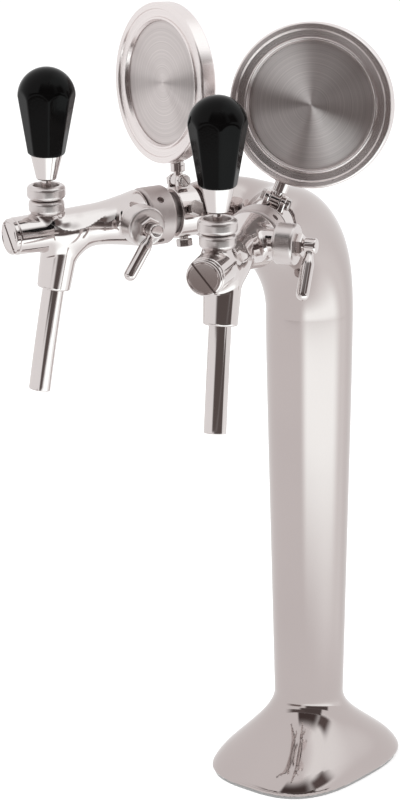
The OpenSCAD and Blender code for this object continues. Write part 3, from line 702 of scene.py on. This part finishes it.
tapMesh, tapNormals = skinField(tapField, tapBody["low"], tapBody["high"], tapBody["step"])
drumSide = ease((tapMesh[0][:, 0] - tapBody["drumIn"] + tapBody["drumFade"]) / tapBody["drumFade"])
print("tap body skinned:", len(tapMesh[0]), "points")

# coupling nut: rounded, with four holes for a spanner
nut = {
    "radius": 16.5, "edge": 1.8, "boreGap": 0.1,
    "holeTurns": (45, 135, 225, 315), "holeRadius": 2.0, "holeAt": 8.5, "holeDepth": 2.5, "drillLength": 6.0,
}


def nutMesh():
    bore = tapLine["shankRadius"] + nut["boreGap"]
    solid = roundedDisc(nut["radius"], tapLine["nutLength"], nut["edge"], bore)
    drill = rodMesh(nut["holeRadius"], 0, nut["drillLength"], segments=28)
    start = shift(nut["radius"] - nut["holeDepth"], 0, nut["holeAt"])
    drills = [moved(drill, spin(turn, "Z") @ start @ spin(90, "Y")) for turn in nut["holeTurns"]]
    return carved(solid, *drills)


# barrel plug: a face with a ring groove and a slot across it
plug = {
    "radius": 10.0, "head": 2.5, "edge": 0.9,
    "groove": 8.2, "grooveTop": 0.5, "grooveFoot": 0.2, "grooveDeep": 0.4,
    "slotWidth": 1.6, "slotDepth": 1.2, "slotTurn": -50.0, "overshoot": 2.0,
}


def plugMesh():
    radius, edge, top = plug["radius"], plug["edge"], plug["head"]
    at, wide, thin, floor = plug["groove"], plug["grooveTop"], plug["grooveFoot"], top - plug["grooveDeep"]
    face = [(at + wide, top), (at + thin, floor), (at - thin, floor), (at - wide, top), (0, top)]
    rim = arcPoints(radius - edge, top - edge, edge, 0, 90, 5)
    solid = turnedMesh([(0, 0), (radius, 0)] + rim + face, segments=96)
    over = plug["overshoot"]
    bar = slotBar(radius + over, plug["slotWidth"] / 2, top - plug["slotDepth"], top + over)
    return carved(solid, moved(bar, spin(plug["slotTurn"], "Z")))


# the two rings under the handle; the upper one opens in a cone, so that the lever can swing
ring = {
    "lowRadius": 9.9, "highRadius": 10.7, "height": 7.7, "edge": 2.4, "bore": 6.0, "mouth": 7.3,
    "lowBase": 10.6, "highBase": 18.7,
}


def ringMesh(radius, mouth=0.0):
    return roundedDisc(radius, ring["height"], ring["edge"], ring["bore"], mouth=mouth)


# handle ferrule: a cone that widens upwards
ferrule = {
    "base": 29.4, "height": 14.0, "lowRadius": 5.8, "topRadius": 8.8, "bore": 2.62,
    "bevel": 1.2, "topDrop": 0.4, "topInset": 0.3,
}


def ferruleMesh():
    low, top, high, bore = ferrule["lowRadius"], ferrule["topRadius"], ferrule["height"], ferrule["bore"]
    bevel = ferrule["bevel"]
    climb = high - bevel - ferrule["topDrop"]
    foot = arcPoints(low - bevel, bevel, bevel, -90, -10, 5)
    cone = [(low + (top - low) * t, bevel + t * climb) for t in np.linspace(0, 1, 8)]
    rim = [(top - ferrule["topInset"], high), (bore, high), (bore, 0)]
    return turnedMesh([(bore, 0)] + foot + cone + rim, segments=96)


# faceted grip: a turned pear shape met by flats, with softened edges where they meet
grip = {
    "base": 43.4, "height": 48.2, "lowRadius": 10.2, "radius": 15.9,
    "flats": 8, "flatShare": 0.935, "round": 0.35,
    "footRound": 0.8, "footHeight": 1.0, "footRows": (0, 0.25, 0.6, 1.0),
    "sideStart": 1.6, "sideRows": 44, "domeRows": 26, "segments": 192,
}


def gripMesh():
    low, wide = grip["lowRadius"], grip["radius"]
    shoulder = grip["height"] - wide
    profile = []
    for height in [*grip["footRows"], *np.linspace(grip["sideStart"], shoulder, grip["sideRows"])]:
        cone = low + (wide - low) * height / shoulder
        foot = max(0.0, grip["footHeight"] - height)
        profile.append((cone - grip["footRound"] * foot * foot, height, cone))
    for angle in np.linspace(0, math.pi / 2, grip["domeRows"])[1:]:
        height = shoulder + wide * math.sin(angle)
        profile.append((wide * math.cos(angle), height, low + (wide - low) * height / shoulder))
    segments, soft = grip["segments"], grip["round"]
    share = 2 * math.pi / grip["flats"]
    verts, faces = [(0, 0, 0)], []
    for turned, height, cone in profile[:-1]:
        for i in range(segments):
            angle = 2 * math.pi * i / segments
            local = (angle + share / 2) % share - share / 2
            flat = cone * grip["flatShare"] / math.cos(local)
            blend = max(0.0, min(1.0, 0.5 + 0.5 * (flat - turned) / soft))
            radius = flat * (1 - blend) + turned * blend - soft * blend * (1 - blend)
            verts.append((radius * math.cos(angle), radius * math.sin(angle), height))
    verts.append((0, 0, profile[-1][1]))
    rows = len(profile) - 1
    last = 1 + (rows - 1) * segments
    for i in range(segments):
        j = (i + 1) % segments
        faces.append((0, 1 + j, 1 + i))
        faces.append((last + i, last + j, len(verts) - 1))
        for k in range(rows - 1):
            here, above = 1 + k * segments, 1 + (k + 1) * segments
            faces.append((here + i, here + j, above + j, above + i))
    return np.array(verts, float), faces


# spout tube with a rolled lip, bending a little below its socket
spout = {
    "radius": 6.1, "bore": 5.0, "start": 21.5, "end": 91.5, "lip": 0.45, "sag": 1.0,
    "boreDepth": 30.0, "boreRows": 8, "rows": 40,
}


def spoutMesh():
    bore, radius = spout["bore"], spout["radius"]
    floor, mouth = spout["end"] - spout["boreDepth"], spout["end"] - spout["lip"]
    inner = [(bore, h) for h in np.linspace(floor, mouth, spout["boreRows"])]
    tip = arcPoints((bore + radius) / 2, mouth, (radius - bore) / 2, 180, 0, 8)
    outer = [(radius, h) for h in np.linspace(mouth, spout["start"], spout["rows"])]
    verts, faces = turnedMesh([(0, floor)] + inner + tip + outer + [(0, spout["start"])], segments=64)
    bendStart = tapBody["socketLength"]
    t = np.clip((verts[:, 2] - bendStart) / (spout["end"] - bendStart), 0, 1)
    verts[:, 1] -= spout["sag"] * t * t
    return verts, [tuple(reversed(face)) for face in faces]


# compensator: hexagon gland on the drum, a hub on its shaft, and the flow lever
compensator = {
    "glandAcross": 11.26, "glandHead": 3.5, "glandBevel": 0.7,
    "hubStart": 33.5, "hubLength": 7.0, "hubRadius": 4.2, "hubEdge": 1.2,
    "shaftRadius": 3.0, "shaftStart": 8.0, "shaftOverlap": 1.0,
    "rootRadius": 2.2, "rootStart": -1.3, "rootGap": 0.3,
    "leverRadius": 3.5, "leverSwell": 11.0, "leverLength": 31.0, "leverLean": 34.0,
}


def glandMesh():
    outline = hexOutline(compensator["glandAcross"])
    gland = prismMesh(outline, 0, compensator["glandHead"], compensator["glandBevel"])
    return moved(gland, shift(tapBody["drumReach"], 0, 0) @ spin(90, "Y"))


def hubMesh():
    hub = roundedDisc(compensator["hubRadius"], compensator["hubLength"], compensator["hubEdge"], segments=64)
    end = compensator["hubStart"] + compensator["shaftOverlap"]
    shaft = rodMesh(compensator["shaftRadius"], compensator["shaftStart"], end, segments=48)
    hub = moved(hub, shift(compensator["hubStart"], 0, 0) @ spin(90, "Y"))
    return joined(hub, moved(shaft, spin(90, "Y")))


def leverMesh():
    root, foot, wide = compensator["rootRadius"], compensator["rootStart"], compensator["leverRadius"]
    low = compensator["hubRadius"] + compensator["rootGap"]
    swell, end = compensator["leverSwell"], compensator["leverLength"]
    heights = np.linspace(low, swell, 9)
    cone = [(root + (wide - root) * float(ease((h - low) / (swell - low))), h) for h in heights]
    bar = [(wide, h) for h in np.linspace(swell, end - wide, 5)[1:]]
    dome = arcPoints(0, end - wide, wide, 0, 90, 8)[1:]
    return turnedMesh([(0, foot), (root, foot)] + cone + bar + dome, segments=48)


shapes = {
    "nut": nutMesh(), "plug": plugMesh(), "ferrule": ferruleMesh(), "grip": gripMesh(), "spout": spoutMesh(),
    "bonnet": ringMesh(ring["lowRadius"]), "leverNut": ringMesh(ring["highRadius"], ring["mouth"]),
    "gland": glandMesh(), "hub": hubMesh(), "lever": leverMesh(),
}

for side in sides:
    base = tapFrame(side)
    nutAt, plugAt = outFrame(side, tapLine["nutStart"]), outFrame(side, tapLine["barrelEnd"])
    up = base @ shift(0, -tapLine["handleAt"], 0)
    bonnetAt, leverNutAt = up @ shift(0, 0, ring["lowBase"]), up @ shift(0, 0, ring["highBase"])
    ball = tapLine["ballHeight"]
    handle = up @ shift(0, 0, ball) @ spin(-tapLine["handleLean"], "X") @ shift(0, 0, -ball)
    ferruleAt, gripAt = handle @ shift(0, 0, ferrule["base"]), handle @ shift(0, 0, grip["base"])
    socket = base @ shift(0, -tapLine["socketTop"], 0) @ spin(180 - tapLine["socketTilt"], "X")
    drumAxis = base @ shift(0, -tapLine["drumAt"], tapLine["drumUp"])
    leverAt = drumAxis @ shift(compensator["hubStart"] + compensator["hubLength"] / 2, 0, 0)
    leverAt = leverAt @ spin(180 - compensator["leverLean"], "X")
    casting = addSided(side, "tapCasting", tapMesh, base, "castingChrome", "tower", "tap_body",
                       normals=tapNormals)
    casting.data.attributes.new("drumSide", "FLOAT", "POINT").data.foreach_set("value", drumSide)
    addSided(side, "couplingNut", shapes["nut"], nutAt, "nutSatin", "tower", "coupling_nut")
    addSided(side, "barrelPlug", shapes["plug"], plugAt, "fittingChrome", "tower", "barrel_plug")
    addSided(side, "bonnetRing", shapes["bonnet"], bonnetAt, "ringSatin", "tower", "bonnet")
    addSided(side, "leverNut", shapes["leverNut"], leverNutAt, "ringSatin", "tower", "lever_nut")
    addSided(side, "handleFerrule", shapes["ferrule"], ferruleAt, "fittingChrome", "handle", "handle_ferrule")
    addSided(side, "handleGrip", shapes["grip"], gripAt, "gripBlack", "handle", "handle_grip", "grip_black",
             crease=60, weighted=False)
    addSided(side, "spoutTube", shapes["spout"], socket, "fittingChrome", "tower", "spout")
    addSided(side, "glandNut", shapes["gland"], drumAxis, "fittingChrome", "tower", "compensator_gland")
    addSided(side, "flowHub", shapes["hub"], drumAxis, "fittingChrome", "compensator", "compensator_shaft")
    addSided(side, "flowLever", shapes["lever"], leverAt, "fittingChrome", "compensator", "compensator_lever")
print("taps dressed")

# the sizes that the pieces of a badge share, and how each badge stands
badge = {
    "radius": 45.0, "thick": 9.5, "seat": 5.0, "pivotRadius": 17.5,
    "eyeRadius": 4.0, "eyeWidth": 6.0, "earGap": 0.3, "earThick": 3.0, "tabThick": 3.0,
    "left": {"roll": -10.0, "lean": 3.5, "turn": 4.5, "up": 55.0},
    "right": {"roll": 20.0, "lean": 9.5, "turn": 0.5, "up": 56.5},
}


# middle of the bracket ring, turned about the tap's axis
def ringFrame(turn, start=Matrix.Identity(4)):
    return start @ shift(0, -tapLine["bracketStart"] - tapLine["bracketWidth"] / 2, 0) @ spin(turn, "Y")


# spun disc in the badge
disc = {"radius": 34.5, "thick": 1.2, "edge": 0.25, "rings": 12}


def discMesh():
    radius, thick, edge, rings = disc["radius"], disc["thick"], disc["edge"], disc["rings"]
    rows = [(0, thick)] + [(radius * k / rings, thick) for k in range(1, rings)]
    rows += [(radius - edge, thick), (radius, thick - edge), (radius, 0), (0, 0)]
    return turnedMesh(rows[::-1], segments=128)


# frame: rounded rim, a step down to a flat ledge, then a bead round the disc
badgeRim = {
    "backRound": 1.5, "sideRow": 4.0, "frontRound": 1.3, "rimWidth": 3.0, "lipAt": 3.2, "lipRound": 0.5,
    "stepDown": 1.2, "hollowAt": 4.4, "hollowLift": 0.5, "hollowRound": 0.6,
    "ledge": ((3.4, 0.35), (2.5, 0.4)), "mouth": ((0.3, 1.0), (0.05, 1.4)), "discGap": 0.05,
    "beadAt": 1.6, "beadDrop": 0.25, "beadRound": 0.75, "beadArc": (10, 170),
}


def frameMesh():
    outer, top, inner, seat = badge["radius"], badge["thick"], disc["radius"], badge["seat"]
    back, front, lip, hollow = [badgeRim[k] for k in ("backRound", "frontRound", "lipRound", "hollowRound")]
    step = top - badgeRim["stepDown"]
    profile = [(0, 0)] + arcPoints(outer - back, back, back, -90, 0, 6) + [(outer, badgeRim["sideRow"])]
    profile += arcPoints(outer - front, top - front, front, 0, 90, 7) + [(outer - badgeRim["rimWidth"], top)]
    profile += arcPoints(outer - badgeRim["lipAt"], top - lip, lip, 90, 180, 4)
    profile += arcPoints(outer - badgeRim["hollowAt"], step + badgeRim["hollowLift"], hollow, 0, -90, 4)
    profile += [(inner + away, step - drop) for away, drop in badgeRim["ledge"]]
    bead = (inner + badgeRim["beadAt"], step - badgeRim["beadDrop"], badgeRim["beadRound"])
    profile += arcPoints(*bead, *badgeRim["beadArc"], 8)
    profile += [(inner + away, step - drop) for away, drop in badgeRim["mouth"]]
    profile += [(inner + badgeRim["discGap"], seat), (0, seat)]
    return turnedMesh(profile, segments=160)


# bracket: a ring on the shank with two ears that hold the stem's eye
bracket = {
    "radius": 14.5, "edge": 0.9, "boreGap": 0.05, "boreEdge": 0.4,
    "earSoft": 0.5, "earSideShare": 0.9, "earTopShare": 0.88, "earSquareBelow": -1.0,
}


def earMesh():
    r, thick, low, soft = badge["eyeRadius"], badge["earThick"], badge["pivotRadius"] / 2, bracket["earSoft"]
    outline = [(-r, -low)] + arcPoints(0, 0, r, 180, 0, 14) + [(r, -low)]
    inner = []
    for x, y in outline:
        share = 1.0 if y < bracket["earSquareBelow"] else bracket["earTopShare"]
        inner.append((x * bracket["earSideShare"], y * share))
    rows = [(inner, 0), (outline, soft), (outline, thick - soft), (inner, thick)]
    verts = [(h, -x, y) for row, h in rows for x, y in row]
    return np.array(verts, float), [tuple(reversed(face)) for face in stackedFaces(len(outline))]


def bracketMesh(pose):
    bore, soft = tapLine["shankRadius"] + bracket["boreGap"], bracket["boreEdge"]
    wide, radius, edge = tapLine["bracketWidth"], bracket["radius"], bracket["edge"]
    profile = [(bore, soft), (bore + soft, 0)] + arcPoints(radius - edge, edge, edge, -90, 0, 5)
    profile += arcPoints(radius - edge, wide - edge, edge, 0, 90, 5)
    profile += [(bore + soft, wide), (bore, wide - soft), (bore, soft)]
    collar = moved(turnedMesh(profile, segments=96), shift(0, -tapLine["bracketStart"], 0) @ spin(90, "X"))
    pivot = ringFrame(pose["roll"]) @ shift(0, 0, badge["pivotRadius"])
    gap = badge["eyeWidth"] / 2 + badge["earGap"]
    ears = [moved(earMesh(), pivot @ shift(x, 0, 0)) for x in (gap, -gap - badge["earThick"])]
    return joined(collar, *ears)


# hexagon screws that clamp the bracket to the shank
bracketScrew = {
    "turns": (180, 82), "radius": 2.5, "start": 0.1, "end": 4.2,
    "across": 7.8, "headStart": 4.0, "headEnd": 8.5, "bevel": 0.5,
}


def bracketScrewMesh(pose):
    shank = rodMesh(bracketScrew["radius"], bracketScrew["start"], bracketScrew["end"], segments=32)
    outline = hexOutline(bracketScrew["across"])
    head = prismMesh(outline, bracketScrew["headStart"], bracketScrew["headEnd"], bracketScrew["bevel"])
    parts = []
    for turn in bracketScrew["turns"]:
        at = ringFrame(pose["roll"] + turn) @ shift(0, 0, tapLine["shankRadius"])
        parts += [moved(shank, at), moved(head, at)]
    return joined(*parts)


# pivot screw: a slotted head on one ear and a hexagon end behind the other
pivotScrew = {
    "headRadius": 3.5, "headHeight": 2.2, "headRound": 0.8,
    "slotReach": 6.0, "slotHalf": 0.5, "slotFloor": 1.3, "slotTop": 4.0, "slotTurn": 35.0,
    "radius": 2.0, "headOverlap": 0.2, "tailLength": 1.0,
    "endAcross": 6.06, "endHeight": 2.4, "endBevel": 0.4,
}


def pivotScrewMesh(pose):
    out = badge["eyeWidth"] / 2 + badge["earGap"] + badge["earThick"]
    wide, high, soft = pivotScrew["headRadius"], pivotScrew["headHeight"], pivotScrew["headRound"]
    rim = arcPoints(wide - soft, high - soft, soft, 0, 90, 4)
    head = turnedMesh([(0, 0), (wide, 0)] + rim + [(0, high)], segments=48)
    bar = slotBar(*[pivotScrew[k] for k in ("slotReach", "slotHalf", "slotFloor", "slotTop")])
    head = carved(head, moved(bar, spin(pivotScrew["slotTurn"], "Z")))
    far = -2 * out
    tail = far - pivotScrew["tailLength"]
    shank = rodMesh(pivotScrew["radius"], tail, pivotScrew["headOverlap"], segments=32)
    outline = hexOutline(pivotScrew["endAcross"])
    back = prismMesh(outline, far - pivotScrew["endHeight"], far, pivotScrew["endBevel"])
    at = ringFrame(pose["roll"]) @ shift(0, 0, badge["pivotRadius"])
    return moved(joined(head, shank, back), at @ shift(out, 0, 0) @ spin(90, "Y"))


# stem: an eye on the pivot, a round collar and a tab behind the badge
stem = {
    "eyeInset": 0.3, "eyeEdge": 0.5, "eyeBore": 2.1, "neckRadius": 2.6, "neckStart": 2.4,
    "collarRadius": 4.2, "collarStart": 5.0, "collarEdge": 0.4, "topGap": 0.1,
    "tabHalf": 4.5, "tabEdge": 0.6, "tabBelow": 2.0, "tabAbove": 16.0, "tabBevel": 0.5,
}


def stemMesh(pose):
    rise = pose["up"] - badge["radius"]
    eyeRadius = badge["eyeRadius"] - stem["eyeInset"]
    eye = roundedDisc(eyeRadius, badge["eyeWidth"], stem["eyeEdge"], stem["eyeBore"], segments=48)
    eye = moved(eye, shift(-badge["eyeWidth"] / 2, 0, 0) @ spin(90, "Y"))
    thin, wide, edge = stem["neckRadius"], stem["collarRadius"], stem["collarEdge"]
    low, start, top = stem["neckStart"], stem["collarStart"], rise - stem["topGap"]
    profile = [(0, low), (thin, low), (thin, start), (wide - edge, start), (wide, start + edge)]
    pin = turnedMesh(profile + [(wide, top - edge), (wide - edge, top), (0, top)], segments=64)
    w, t, cut = stem["tabHalf"], badge["tabThick"] / 2, stem["tabEdge"]
    outline = [(-w + cut, -t), (w - cut, -t), (w, -t + cut), (w, t - cut)]
    outline += [(-x, -y) for x, y in outline]
    tab = prismMesh(outline, rise - stem["tabBelow"], rise + stem["tabAbove"], stem["tabBevel"])
    return joined(eye, pin, moved(tab, spin(pose["turn"], "Z")))


# round-headed screws through the tab into the badge
tabScrew = {
    "heights": (6, 13), "radius": 1.5, "start": -3.1, "end": 2.4,
    "headRadius": 2.6, "headRound": 0.9, "headFlat": 1.4, "headTop": -4.5, "headBase": -3.0,
}


def tabScrewMesh(pose):
    rise = pose["up"] - badge["radius"]
    wide, soft, top, low = [tabScrew[k] for k in ("headRadius", "headRound", "headTop", "headBase")]
    profile = [(0, top), (tabScrew["headFlat"], top)] + arcPoints(wide - soft, top + soft, soft, -90, 0, 5)
    head = turnedMesh(profile + [(wide, low), (0, low)], segments=40)
    shank = rodMesh(tabScrew["radius"], tabScrew["start"], tabScrew["end"], segments=24)
    parts = []
    for height in tabScrew["heights"]:
        at = spin(pose["turn"], "Z") @ shift(0, -badge["tabThick"] / 2, rise + height) @ spin(90, "X")
        parts += [moved(head, at), moved(shank, at)]
    return joined(*parts)


frameShape, discShape = frameMesh(), discMesh()
for side in sides:
    pose = badge[side]
    base = tapFrame(side)
    lean = ringFrame(pose["roll"], base) @ shift(0, 0, badge["pivotRadius"]) @ spin(-pose["lean"], "X")
    face = lean @ spin(pose["turn"], "Z") @ shift(0, -badge["tabThick"] / 2, pose["up"]) @ spin(90, "X")
    discAt = face @ shift(0, 0, badge["seat"])
    addSided(side, "badgeBracket", bracketMesh(pose), base, "fittingChrome", "tower", "badge_bracket")
    addSided(side, "bracketScrews", bracketScrewMesh(pose), base, "screwSteel", "tower", "bracket_screws",
             "screw_steel")
    addSided(side, "badgePivotScrew", pivotScrewMesh(pose), base, "screwSteel", "tower", "badge_pivot_screw",
             "screw_steel")
    addSided(side, "badgeStem", stemMesh(pose), lean, "fittingChrome", "badge", "badge_stem")
    addSided(side, "badgeTabScrews", tabScrewMesh(pose), lean, "screwSteel", "badge", "badge_screws",
             "screw_steel")
    addSided(side, "badgeFrame", frameShape, face, "spunFrame", "badge", "badge_frame", "badge_chrome",
             ownAxes=True)
    addSided(side, "badgeDisc", discShape, discAt, "spunDisc", "badge", "badge_disc", "brushed_disc",
             ownAxes=True)
print("badges dressed")

# CAD nodes that stay as they are take their finish here
nodeFinish = {
    # the shank's dark finish is partly painted shade for the gap behind the coupling nut
    "base_gasket": "greyRubber", "base_plate": "zincSteel", "beer_line": "satinSteel", "shank": "threadSteelPaintedShade",
    "tail_washer": "blackRubber", "handle_lever": "fittingChrome", "valve_piston": "valveBrass",
    "valve_seal": "blackRubber", "compensator_cone": "conePlastic", "compensator_seal": "blackRubber",
}
nodeCrease = 30
for name, made in nodes.items():
    finish = nodeFinish.get(name) or nodeFinish.get(name.rsplit("_", 1)[0])
    if finish:
        made.data.materials.clear()
        made.data.materials.append(finishes[finish])
        made.data.shade_smooth()
        made.data.set_sharp_from_angle(angle=math.radians(nodeCrease))
print("remaining nodes finished")

# camera at the photograph's viewing angle; focal is in pixels of a picture whose long side is longSide
shot = {
    "azimuth": 39.7, "elevation": 17.9, "roll": -0.58, "distance": 1.8, "aside": -0.0643, "height": 0.2281,
    "focal": 3058.0, "longSide": 806.0, "sensor": 36.0, "clipEnd": 50.0,
}
azimuth, elevation = math.radians(shot["azimuth"]), math.radians(shot["elevation"])
level = math.cos(elevation)
aim = Vector((shot["aside"] * math.cos(azimuth), shot["aside"] * math.sin(azimuth), shot["height"]))
back = Vector((math.sin(azimuth) * level, -math.cos(azimuth) * level, math.sin(elevation)))
lens = bpy.data.cameras.new("shotCamera")
lens.sensor_width = shot["sensor"]
lens.lens = shot["focal"] * shot["sensor"] / shot["longSide"]
lens.clip_end = shot["clipEnd"]
cameraObject = bpy.data.objects.new("shotCamera", lens)
scene.collection.objects.link(cameraObject)
turned = (-back).to_track_quat("-Z", "Y").to_matrix().to_4x4() @ spin(shot["roll"], "Z")
cameraObject.matrix_world = Matrix.Translation(aim + back * shot["distance"]) @ turned
scene.camera = cameraObject
print("camera placed")

# light tent: pale floor, white room, soft boxes, and dark gaps and bright sheets that only reflections show
studio = {
    "floor": 4.0, "room": 1.0, "fill": 0.75, "floorWhite": 0.80, "floorLift": 0.42,
    "lampAim": (0, -0.05, 0.25),
    "lamps": [
        {"name": "topBox", "at": (-0.3, -0.5, 1.6), "size": (2.2, 1.8), "power": 16.0},
        {"name": "leftBox", "at": (-1.5, -0.7, 0.9), "size": (1.0, 1.5), "power": 8.0},
        {"name": "rightBox", "at": (1.6, 0.3, 0.9), "size": (1.0, 1.5), "power": 8.0},
    ],
    "cardTurns": 60, "cardRows": 40, "leastDepth": 0.01,
    # bearings in degrees to the right of the camera's; near and far edges as radius and height in metres
    # soft: degrees over which a card fades at its ends; rim: the same at its edges, in shares of its width
    "cards": [
        {"name": "lowGap", "bearing": (-80, -22), "near": (1.0, 0.0), "far": (1.0, 0.17),
         "soft": (30, 9), "rim": (0.03, 0.25), "glow": (0.26, 0.22, 0.21)},
        {"name": "highGap", "bearing": (-80, -8), "near": (1.0, 0.36), "far": (1.0, 0.64),
         "soft": (30, 14), "rim": (0.15, 0.15), "glow": (0.15, 0.125, 0.12)},
        {"name": "frontGap", "bearing": (-18, 66), "near": (1.005, 0.015), "far": (1.005, 0.28),
         "soft": (12, 8), "rim": (0.26, 0.2), "glow": (0.12, 0.10, 0.095)},
        {"name": "frontRise", "bearing": (-36, 46), "near": (1.007, 0.22), "far": (1.007, 0.64),
         "soft": (14, 8), "rim": (0.1, 0.1), "glow": (0.12, 0.10, 0.095)},
        {"name": "sideFlag", "bearing": (34, 84), "near": (1.0, 0.5), "far": (1.0, 1.6),
         "soft": (12, 20), "rim": (0.15, 0.5), "glow": (0.15, 0.12, 0.115)},
        {"name": "upperFlag", "bearing": (-40, 56), "near": (1.02, 0.55), "far": (1.02, 2.5),
         "soft": (8, 36), "rim": (0.06, 0.75), "glow": (0.09, 0.07, 0.066)},
        {"name": "skySheet", "bearing": (10, 160), "near": (0.2, 2.2), "far": (6.0, 2.2),
         "soft": (40, 40), "rim": (0.12, 0.75), "glow": (1.30, 1.35, 1.35)},
        {"name": "sideSheet", "bearing": (5, 125), "near": (0.1, 0.001), "far": (1.0, 0.001),
         "soft": (50, 30), "rim": (0.2, 0.03), "glow": (1.15, 1.17, 1.17)},
        {"name": "brightSheet", "bearing": (-28, 92), "near": (0.13, 0.002), "far": (1.25, 0.002),
         "soft": (22, 30), "rim": (0.42, 0.45), "facing": 34.0, "glow": (1.70, 1.84, 1.84)},
    ],
}


def lightPath(wire, *rays):
    seen = wire.node("ShaderNodeLightPath", None, None, rays[0])
    for ray in rays[1:]:
        seen = seen.maths("MAXIMUM", seen, wire.node("ShaderNodeLightPath", None, None, ray))
    return seen


def makeFloor():
    half = studio["floor"]
    data = bpy.data.meshes.new("paleFloor")
    corners = [(-half, -half, 0), (half, -half, 0), (half, half, 0), (-half, half, 0)]
    data.from_pydata(corners, [], [(0, 1, 2, 3)])
    made = bpy.data.objects.new("paleFloor", data)
    scene.collection.objects.link(made)
    material, wire = newMaterial("paleFloor")
    white = studio["floorWhite"]
    matt = wire.node("ShaderNodeBsdfDiffuse", None, {"Color": (white, white, white, 1)})
    lift = wire.node("ShaderNodeEmission", None, {"Color": (1, 1, 1, 1), "Strength": studio["floorLift"]})
    plain = wire.node("ShaderNodeAddShader", None, {0: matt, 1: lift})
    bright = wire.node("ShaderNodeEmission", None, {"Color": (1, 1, 1, 1), "Strength": studio["room"]})
    seen = lightPath(wire, "Is Glossy Ray", "Is Transmission Ray")
    finishMaterial(wire, wire.node("ShaderNodeMixShader", None, {0: seen, 1: plain, 2: bright}))
    data.materials.append(material)


# a card swept round the column from its near edge to its far one, which only reflections see
# with "facing", its near edge is a straight line square to that bearing
def makeCard(card):
    first, last = card["bearing"]
    turns, rows = studio["cardTurns"], studio["cardRows"]
    verts, fade = [], []
    for i in range(turns + 1):
        bearing = first + (last - first) * i / turns
        angle = math.radians(shot["azimuth"] + bearing)
        near, far = list(card["near"]), card["far"]
        if "facing" in card:
            straight = near[0] / math.cos(math.radians(bearing - card["facing"]))
            near[0] = min(straight, far[0] - studio["leastDepth"])
        ends = ease((bearing - first) / card["soft"][0]) * ease((last - bearing) / card["soft"][1])
        for k in range(rows + 1):
            t = k / rows
            radius, height = [n + (f - n) * t for n, f in zip(near, far)]
            verts.append((radius * math.sin(angle), -radius * math.cos(angle), height))
            fade.append(float(ends * ease(t / card["rim"][0]) * ease((1 - t) / card["rim"][1])))
    faces = []
    for i in range(turns):
        for k in range(rows):
            a = i * (rows + 1) + k
            faces.append((a, a + 1, a + rows + 2, a + rows + 1))
    data = bpy.data.meshes.new(card["name"])
    data.from_pydata(verts, [], faces)
    data.attributes.new("fade", "FLOAT", "POINT").data.foreach_set("value", fade)
    material, wire = newMaterial(card["name"])
    glow = wire.node("ShaderNodeEmission", None, {"Color": (*card["glow"], 1), "Strength": 1.0})
    clear = wire.node("ShaderNodeBsdfTransparent")
    edge = wire.node("ShaderNodeAttribute", {"attribute_name": "fade"}, None, "Fac")
    finishMaterial(wire, wire.node("ShaderNodeMixShader", None, {0: edge, 1: clear, 2: glow}))
    data.materials.append(material)
    made = bpy.data.objects.new(card["name"], data)
    scene.collection.objects.link(made)
    for ray in ("camera", "diffuse", "shadow", "transmission"):
        setattr(made, "visible_" + ray, False)


def makeWorld():
    world = bpy.data.worlds.new("tentRoom")
    scene.world = world
    world.use_nodes = True
    tree = world.node_tree
    tree.nodes.clear()
    wire = Wire(tree)
    seen = lightPath(wire, "Is Camera Ray", "Is Glossy Ray", "Is Transmission Ray")
    strength = studio["fill"] + (studio["room"] - studio["fill"]) * seen
    sky = wire.node("ShaderNodeBackground", None, {"Color": (1, 1, 1, 1), "Strength": strength})
    wire.node("ShaderNodeOutputWorld", None, {"Surface": sky})


def makeLamp(lamp):
    data = bpy.data.lights.new(lamp["name"], "AREA")
    data.shape = "RECTANGLE"
    data.size, data.size_y = lamp["size"]
    data.energy = lamp["power"]
    made = bpy.data.objects.new(lamp["name"], data)
    scene.collection.objects.link(made)
    made.visible_glossy = False  # the metal shows the room and the cards
    at = Vector(lamp["at"])
    made.location = at
    made.rotation_mode = "QUATERNION"
    made.rotation_quaternion = (Vector(studio["lampAim"]) - at).to_track_quat("-Z", "Y")


makeFloor()
makeWorld()
for card in studio["cards"]:
    makeCard(card)
for lamp in studio["lamps"]:
    makeLamp(lamp)
scene.view_settings.view_transform = "Standard"
print("studio set")
